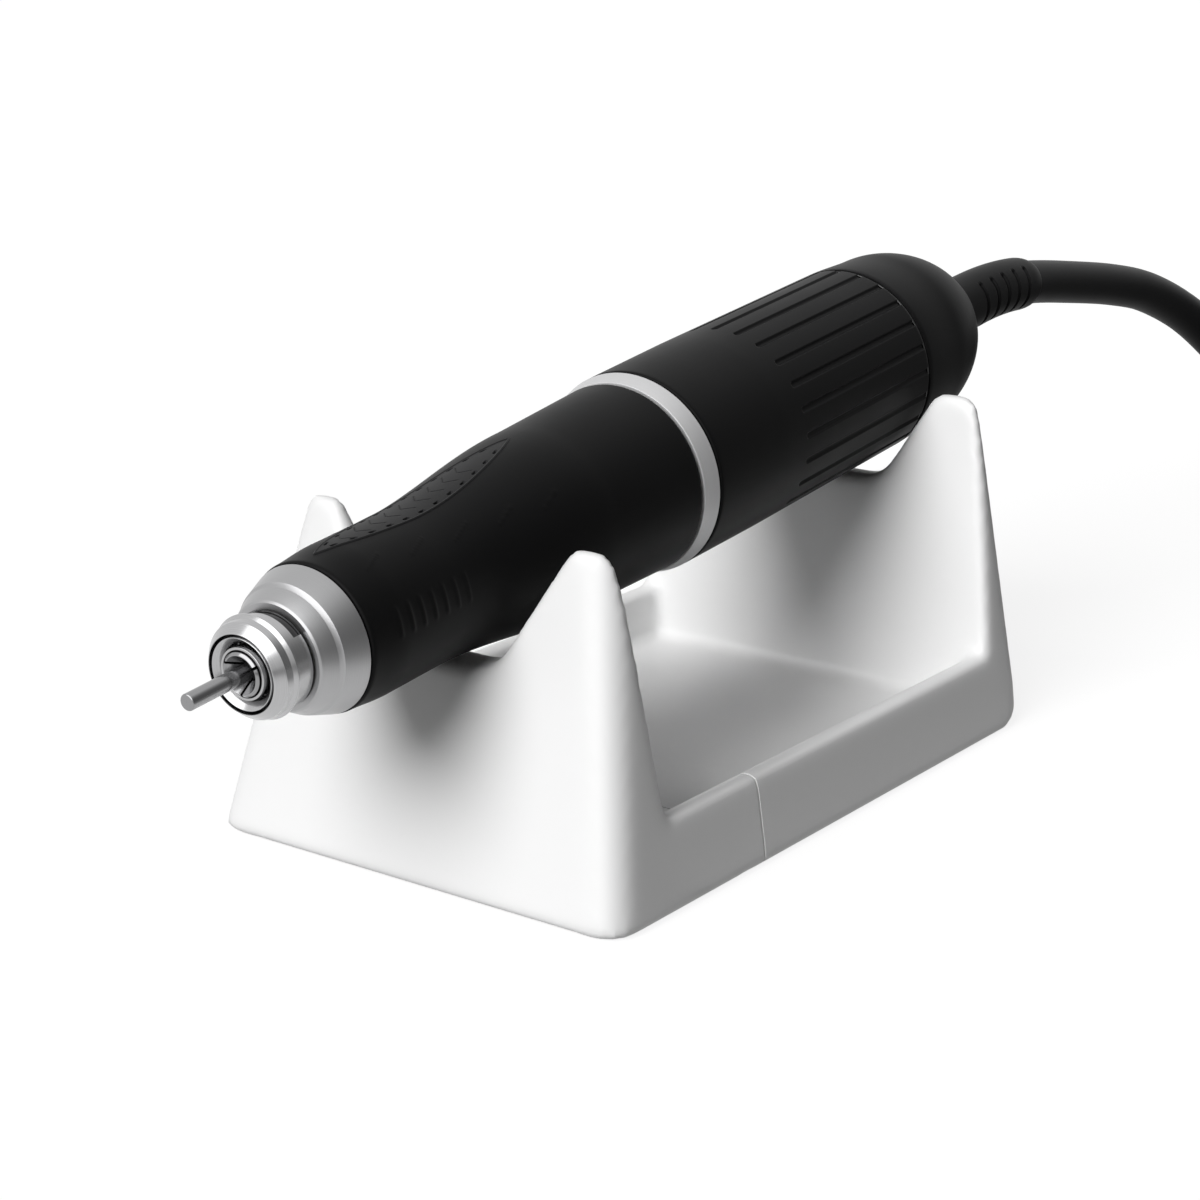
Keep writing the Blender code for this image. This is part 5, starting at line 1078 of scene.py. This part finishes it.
def build_boot():
    """Strain relief carried along its bend, with slots on both sides and a rounded tip."""
    distance = np.concatenate([
        np.linspace(-BOOT_ROOT, BOOT_LENGTH - BOOT_TIP, BOOT_RINGS),
        BOOT_LENGTH - BOOT_TIP * (1 - np.sin(np.linspace(0, math.pi / 2, 16)[1:])),
    ])
    turn = np.linspace(0, TURN, BOOT_SIDES, endpoint=False)
    radius = BOOT_RADIUS + (BOOT_END - BOOT_RADIUS) * np.clip(distance / BOOT_LENGTH, 0, 1)
    tip = np.clip((distance - BOOT_LENGTH + BOOT_TIP) / BOOT_TIP, 0, 1)
    radius = radius - (BOOT_END - CORD_RADIUS - BOOT_LIP) * (1 - np.sqrt(1 - tip ** 2))
    cut = np.zeros((len(distance), len(turn)))
    for i in range(BOOT_SLOTS):
        middle = BOOT_LENGTH - BOOT_LAST_SLOT - i * BOOT_SLOT_PITCH
        across = 1 - np.abs(distance - middle)[:, None] / BOOT_SLOT_HALF_WIDTH
        sweep = 1 - np.abs(off(turn * 2, math.pi))[None] / 2 / BOOT_SLOT_HALF_TURN
        slot = smooth(across * BOOT_SLOT_STEEP) * smooth(sweep * BOOT_SLOT_END_STEEP)
        cut = np.maximum(cut, slot)
    radius = radius[:, None] - BOOT_SLOT_DEPTH * cut
    line, heading = boot_line(distance)
    up = np.stack([-np.sin(heading), np.zeros_like(heading), np.cos(heading)], -1)
    out = np.cos(turn)[:, None] * up[:, None] + np.sin(turn)[:, None] * HANDPIECE[3]
    points = closed_tube(line, line[:, None] + radius[..., None] * out)
    add("strain_relief_fine", weld(skin(points, False, True)), "soft_black", "housing",
        "strain_relief", sharp=50)


def spline(points, spacing):
    """Catmull-Rom curve through the points, cut into even steps."""
    given = np.vstack([2 * points[0] - points[1], points, 2 * points[-1] - points[-2]])
    t = np.linspace(0, 1, SPLINE_STEPS, endpoint=False)[:, None, None]
    a, b, c, d = given[:-3], given[1:-2], given[2:-1], given[3:]
    fine = 0.5 * (2 * b + (c - a) * t + (2 * a - 5 * b + 4 * c - d) * t ** 2
                  + (3 * b - a - 3 * c + d) * t ** 3)
    fine = np.vstack([fine.transpose(1, 0, 2).reshape(-1, 3), points[-1:]])
    length = np.concatenate([[0], np.cumsum(np.linalg.norm(np.diff(fine, axis=0), axis=1))])
    even = np.linspace(0, length[-1], int(length[-1] / spacing) + 2)
    return np.stack([np.interp(even, length, fine[:, k]) for k in range(3)], 1)


def coil_line():
    """Five turns, two wide and three high, with the way in before them.

    For 260 degrees of each lap a strand keeps its place in the coil's section. In the next 100
    degrees all the strands move on by one place: the first slides inwards, the next two roll a
    quarter turn round the strand before them, and the last rises with the one below it.
    """
    turn = np.radians(np.arange(COIL_JOIN, COIL_LAPS * 360 + COIL_SECTOR, COIL_STEP))
    lap, into = np.divmod(turn + TURN - math.radians(COIL_SECTOR), TURN)
    share = smooth((into - TURN) / math.radians(COIL_SECTOR) + 1)
    outer = COIL_RADIUS + COIL_PITCH / 2
    first = np.stack([outer - COIL_PITCH * share, np.full_like(turn, CORD_LIE)], 1)
    strands = [first + np.array([COIL_PITCH, 0]), first]
    for start, sweep in ((180, -90), (90, -90), (0, 90), (90, 0)):
        roll = np.radians(start + sweep * share)
        strands.append(strands[-1] + COIL_PITCH * np.stack([np.cos(roll), np.sin(roll)], 1))
    place = np.stack(strands)[lap.astype(int), np.arange(len(turn))]
    angle = turn + math.radians(COIL_START)
    out, height = place.T
    return COIL_CENTRE + np.stack([out * np.cos(angle), out * np.sin(angle), height], 1)


def carried(line, radius, sides):
    """Tube along a line: a circle held square to the line and never twisted about it."""
    ahead = np.gradient(line, axis=0)
    ahead /= np.linalg.norm(ahead, axis=1, keepdims=True)
    up = np.zeros_like(ahead)
    current = np.cross(np.cross(ahead[0], [0, 0, 1.0]), ahead[0])
    for i, direction in enumerate(ahead):
        current = current - direction * (current @ direction)
        current /= np.linalg.norm(current)
        up[i] = current
    side = np.cross(ahead, up)
    turn = np.linspace(0, TURN, sides, endpoint=False)
    ring = np.cos(turn)[:, None] * up[:, None] + np.sin(turn)[:, None] * side[:, None]
    return closed_tube(line, line[:, None] + radius * ring)


def plug_back():
    """Where the cord enters the plug, which lies along the top of the coil."""
    return COIL_CENTRE + np.array([*PLUG_PLACE, COIL_HEIGHT + SEAT_GAP + PLUG_RADIUS])


def build_cord(plug_pieces):
    """One cord from the strain relief, down to the table, through its coil and to its plug."""
    start = boot_line(np.array([BOOT_LENGTH]))[0][0]
    heading = np.array([math.cos(TILT - BOOT_BEND), 0, math.sin(TILT - BOOT_BEND)])
    inward = np.array([math.cos(CORD_HEADING), -math.sin(CORD_HEADING), 0])
    wound = coil_line()
    join = wound[0]
    run = [join - inward * before * MM + np.array([0, 0, over]) * MM for before, over in CORD_RUN]
    route = np.array([start + heading * SEAT_GAP, start + heading * CORD_LEAD,
                      *(start + np.array(CORD_FALL) * MM), *run, join])
    back = plug_back()
    bend = np.radians(np.arange(COIL_START + COIL_SECTOR + TAIL_START, 0.1, COIL_STEP))
    rise = (back[2] - wound[-1, 2]) * smooth((bend - bend[0]) / -bend[0])
    tail = np.stack([
        back[0] - TAIL_BEND + TAIL_BEND * np.cos(bend),
        back[1] - TAIL_STRAIGHT + TAIL_BEND * np.sin(bend), wound[-1, 2] + rise,
    ], 1)
    straight = np.array([[0, -TAIL_STRAIGHT / 2, 0], [0, -2 * SEAT_GAP, 0]])
    first = spline(route, ROUTE_STEP)
    line = spline(np.vstack([first[:-1], wound, tail, back + straight]), CORD_STEP)
    mesh = weld(skin(carried(line, CORD_RADIUS, CORD_SIDES), False, True))
    cord = add("cord_fine", mesh, "cord_jacket", None, "cord", "cord_coil", "cord_tail", sharp=50)
    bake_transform(cord)


def build_plug():
    """Push-in plug: ridged grip, metal shell with a groove, and the CAD's insulator."""
    axes = (plug_back(), np.array([0, 1.0, 0]), np.array([0, 0, 1.0]), np.array([1.0, 0, 0]))
    length = PLUG_LENGTH
    body = rounded([
        (0.0, AXIS_GAP), (0.0, CORD_RADIUS + 0.8 * MM, 0.5 * MM),
        (0.25 * length, CORD_RADIUS + 1.4 * MM, 4 * MM), (0.4 * length, PLUG_RADIUS, 2 * MM),
        (length - 0.4 * MM, PLUG_RADIUS, 0.8 * MM), (length, PLUG_RADIUS - 1 * MM, 0.2 * MM),
        (length, AXIS_GAP),
    ])

    def ridges(along, radius, angle):
        start, end = RIDGE_START * length, RIDGE_END * length
        window = smooth((along - start) / RIDGE_FADE) * smooth((end - along) / RIDGE_FADE)
        wave = (1 - np.cos(RIDGES * angle)) / 2
        return -RIDGE_DEPTH * wave * window * (radius > PLUG_RADIUS - RIDGE_LIMIT)

    grip = add("plug_grip_fine", lathe(spaced(body, PLUG_SPACING), axes, ridges), "soft_black",
               "cradle", "plug_body", sharp=50)
    start = length + SEAT_GAP
    end = start + PLUG_SHELL_LENGTH
    bore = PLUG_SHELL_RADIUS - PLUG_SHELL_WALL
    groove = start + SHELL_GROOVE_PLACE
    floor = PLUG_SHELL_RADIUS - SHELL_GROOVE_DEPTH
    shell = rounded([
        (start, bore), (start, PLUG_SHELL_RADIUS), (groove, PLUG_SHELL_RADIUS, 0.1 * MM),
        (groove + 0.2 * MM, floor), (groove + 0.9 * MM, floor),
        (groove + 1.1 * MM, PLUG_SHELL_RADIUS, 0.1 * MM), (end, PLUG_SHELL_RADIUS, 0.3 * MM),
        (end, bore, 0.2 * MM),
    ])
    shell = add("plug_shell_fine", lathe(shell, axes), "satin_aluminium", "cradle", "plug_shell")
    return [grip, shell, frame["nodes"]["plug_core"]]


# Chuck

def jaws(outline, count, first, gap):
    """Sectors of a turned outline between slits of an even width, each closed at both ends."""
    work = bmesh.new()
    across = np.linspace(-1, 1, JAW_SIDES)
    along = np.repeat(outline[:, :1], JAW_SIDES, 1)
    radius = np.repeat(outline[:, 1:2], JAW_SIDES, 1)
    half = math.pi / count - np.arcsin(gap / 2 / outline[:, 1:2])
    for i in range(count):
        turn = first + TURN * (i + 0.5) / count + half * across
        sector = skin(around(HANDPIECE, along, radius, turn), True, False)
        work.from_mesh(sector)
        bpy.data.meshes.remove(sector)
    edges = [edge for edge in work.edges if edge.is_boundary]
    caps = bmesh.ops.holes_fill(work, edges=edges, sides=0)["faces"]
    bmesh.ops.triangulate(work, faces=caps)
    mesh = bpy.data.meshes.new("jaws")
    work.to_mesh(mesh)
    work.free()
    return mesh


def build_chuck():
    """Spindle with its mouth, the collet's three dished jaws and the shank that they hold."""
    start, end, _ = reach("spindle")
    race_start, race_end, _ = reach("front_bearing_inner")
    race_start, race_end = race_start - SEAT_GAP, race_end + SEAT_GAP
    neck = SPINDLE_NOSE - SPINDLE_NECK_DEPTH
    wide = end - SPRING_CHAMBER
    bore = COLLET_BODY + SEAT_GAP
    spindle = rounded([
        (start, SPINDLE_MOUTH, 0.05 * MM), (start, SPINDLE_NOSE, 0.08 * MM),
        (race_start, SPINDLE_NOSE), (race_start, neck), (race_end, neck),
        (race_end, SPINDLE_MIDDLE), (wide - SPRING_WALL, SPINDLE_MIDDLE),
        (wide - SPRING_WALL, SPINDLE_BODY), (end, SPINDLE_BODY), (end, CHAMBER_RADIUS),
        (wide, CHAMBER_RADIUS), (wide, bore), (start + COLLET_TAPER, bore),
    ])
    add("spindle_fine", lathe(spindle), "polished_steel", "spindle", "spindle")

    start, end, _ = reach("collet")
    shank = SHANK_DIAMETER / 2
    bore = shank + SHANK_GAP
    head = SPINDLE_MOUTH - COLLET_GAP
    collet = rounded([
        (start, shank + COLLET_DISH, 0.08 * MM), (start, head - 0.3 * MM, 0.06 * MM),
        (start + 0.3 * MM, head, 0.1 * MM), (start + 0.8 * MM, head, 0.2 * MM),
        (start + COLLET_TAPER, COLLET_BODY), (end, COLLET_BODY), (end, bore),
        (start + 1.6 * COLLET_DISH, bore, 0.1 * MM),
    ])
    add("collet_fine", jaws(collet, 3, COLLET_TURN, COLLET_SLIT), "jaw_steel", "collet", "collet")

    start, end, _ = reach("mandrel")
    outline = rounded([
        (start, SHANK_CENTRE), (start, shank, 0.22 * MM), (end, shank, 0.1 * MM),
        (end, SHANK_CENTRE),
    ])
    turns = np.linspace(0, TURN, 64, endpoint=False)
    add("mandrel_fine", lathe(outline, turns=turns), "jaw_steel", "mandrel", "mandrel")


# Stage

def backdrop_ray(tree):
    """1 for the rays that show the backdrop: seen directly, in a gloss or through glass."""
    rays = shader_node(tree, "LightPath")
    seen = math_node(tree, "MAXIMUM", rays.outputs["Is Camera Ray"], rays.outputs["Is Glossy Ray"])
    return math_node(tree, "MAXIMUM", seen, rays.outputs["Is Transmission Ray"])


def backdrop_tone(tree, edge):
    """White where the camera looks, and falling off to a dark room past an edge for reflections.

    The edge is a plane: a direction, a distance along it, and the width over which it falls.
    """
    heading, distance, width, dark = edge
    place = shader_node(tree, "NewGeometry")
    height = shader_node(tree, "VectorMath", {1: heading}, operation="DOT_PRODUCT")
    span = shader_node(tree, "MapRange", interpolation_type="SMOOTHSTEP")
    for socket, value in zip(span.inputs[1:5], (distance - width, distance, dark, 1.0)):
        socket.default_value = value
    rays = shader_node(tree, "LightPath")
    link(tree, (place.outputs["Position"], height.inputs[0]),
         (height.outputs["Value"], span.inputs["Value"]))
    return math_node(tree, "MAXIMUM", rays.outputs["Is Camera Ray"], span.outputs["Result"])


def mix_surface(tree, out, lighting, seen):
    """One shader for the rays that light the object, another for those that show the backdrop."""
    mix = shader_node(tree, "MixShader")
    link(tree, (backdrop_ray(tree), mix.inputs[0]), (lighting, mix.inputs[1]),
         (seen, mix.inputs[2]), (mix.outputs[0], out.inputs["Surface"]))


def build_floor():
    """A sheet of paper that keeps shadows: dull to the object, and pale with a glow when seen."""
    mesh = bpy.data.meshes.new("floor")
    signs = ((-1, -1), (1, -1), (1, 1), (-1, 1))
    corners = [(x * FLOOR_REACH, y * FLOOR_REACH, 0) for x, y in signs]
    mesh.from_pydata(corners, [], [(0, 1, 2, 3)])
    floor = bpy.data.objects.new("floor", mesh)
    bpy.context.scene.collection.objects.link(floor)
    floor.location.z = -FLOOR_DROP
    paper = bpy.data.materials.new("white_paper")
    paper.use_nodes = True
    tree = paper.node_tree
    tree.nodes.clear()
    out = shader_node(tree, "OutputMaterial")
    dull = shader_node(tree, "BsdfDiffuse", {"Color": (*[FLOOR_DULL] * 3, 1)})
    pale = shader_node(tree, "BsdfDiffuse", {"Color": (*[FLOOR_PALE] * 3, 1)})
    glow = shader_node(tree, "Emission", {"Color": WHITE})
    both = shader_node(tree, "AddShader")
    tone = math_node(tree, "MULTIPLY", backdrop_tone(tree, FLOOR_EDGE), FLOOR_GLOW)
    link(tree, (tone, glow.inputs["Strength"]), (pale.outputs[0], both.inputs[0]),
         (glow.outputs[0], both.inputs[1]))
    mix_surface(tree, out, dull.outputs[0], both.outputs[0])
    mesh.materials.append(paper)


def build_world():
    """A low even fill, and a white surround for the rays that show it."""
    world = bpy.data.worlds.new("studio")
    bpy.context.scene.world = world
    world.use_nodes = True
    tree = world.node_tree
    tree.nodes.clear()
    out = shader_node(tree, "OutputWorld")
    fill = shader_node(tree, "Background", {"Color": WHITE, "Strength": WORLD_FILL})
    white = shader_node(tree, "Background", {"Color": WHITE})
    link(tree, (backdrop_tone(tree, ROOM_EDGE), white.inputs["Strength"]))
    mix_surface(tree, out, fill.outputs[0], white.outputs[0])


def build_key():
    """The key light: one sun that lights surfaces, and a broader one that only glosses show."""
    for name, degrees, strength in (("key", *KEY_LIGHT), ("key_gloss", *KEY_GLOSS)):
        sun = bpy.data.lights.new(name, "SUN")
        sun.energy = strength
        sun.angle = math.radians(degrees)
        key = bpy.data.objects.new(name, sun)
        bpy.context.scene.collection.objects.link(key)
        key.rotation_euler = Vector(KEY_HEADING).to_track_quat("-Z", "Y").to_euler()
        key.visible_diffuse = name == "key"
        key.visible_glossy = name != "key"


def build_camera():
    """The photograph's camera, from its heading, pitch and roll."""
    data = bpy.data.cameras.new("camera")
    data.lens = CAMERA_LENS
    data.sensor_width = CAMERA_SENSOR
    data.clip_start = CAMERA_NEAR
    camera = bpy.data.objects.new("camera", data)
    bpy.context.scene.collection.objects.link(camera)
    level = math.cos(CAMERA_PITCH)
    ahead = Vector((
        level * math.cos(CAMERA_HEADING), level * math.sin(CAMERA_HEADING), math.sin(CAMERA_PITCH),
    ))
    flat = ahead.cross(Vector((0, 0, 1))).normalized()
    right = flat * math.cos(CAMERA_ROLL) + flat.cross(ahead) * math.sin(CAMERA_ROLL)
    turn = Matrix((right, right.cross(ahead), -ahead)).transposed()
    camera.matrix_world = Matrix.Translation(CAMERA_PLACE) @ turn.to_4x4()
    bpy.context.scene.camera = camera


def main():
    """Dress the frame, build the finer pieces and set the stage."""
    dress_frame()
    build_cradle()
    build_nose()
    build_grip()
    build_pad()
    build_ring()
    build_sleeve()
    build_cap()
    build_boot()
    build_cord(build_plug())
    build_chuck()
    build_floor()
    build_world()
    build_key()
    build_camera()
    bpy.context.scene.view_settings.view_transform = "Standard"


main()
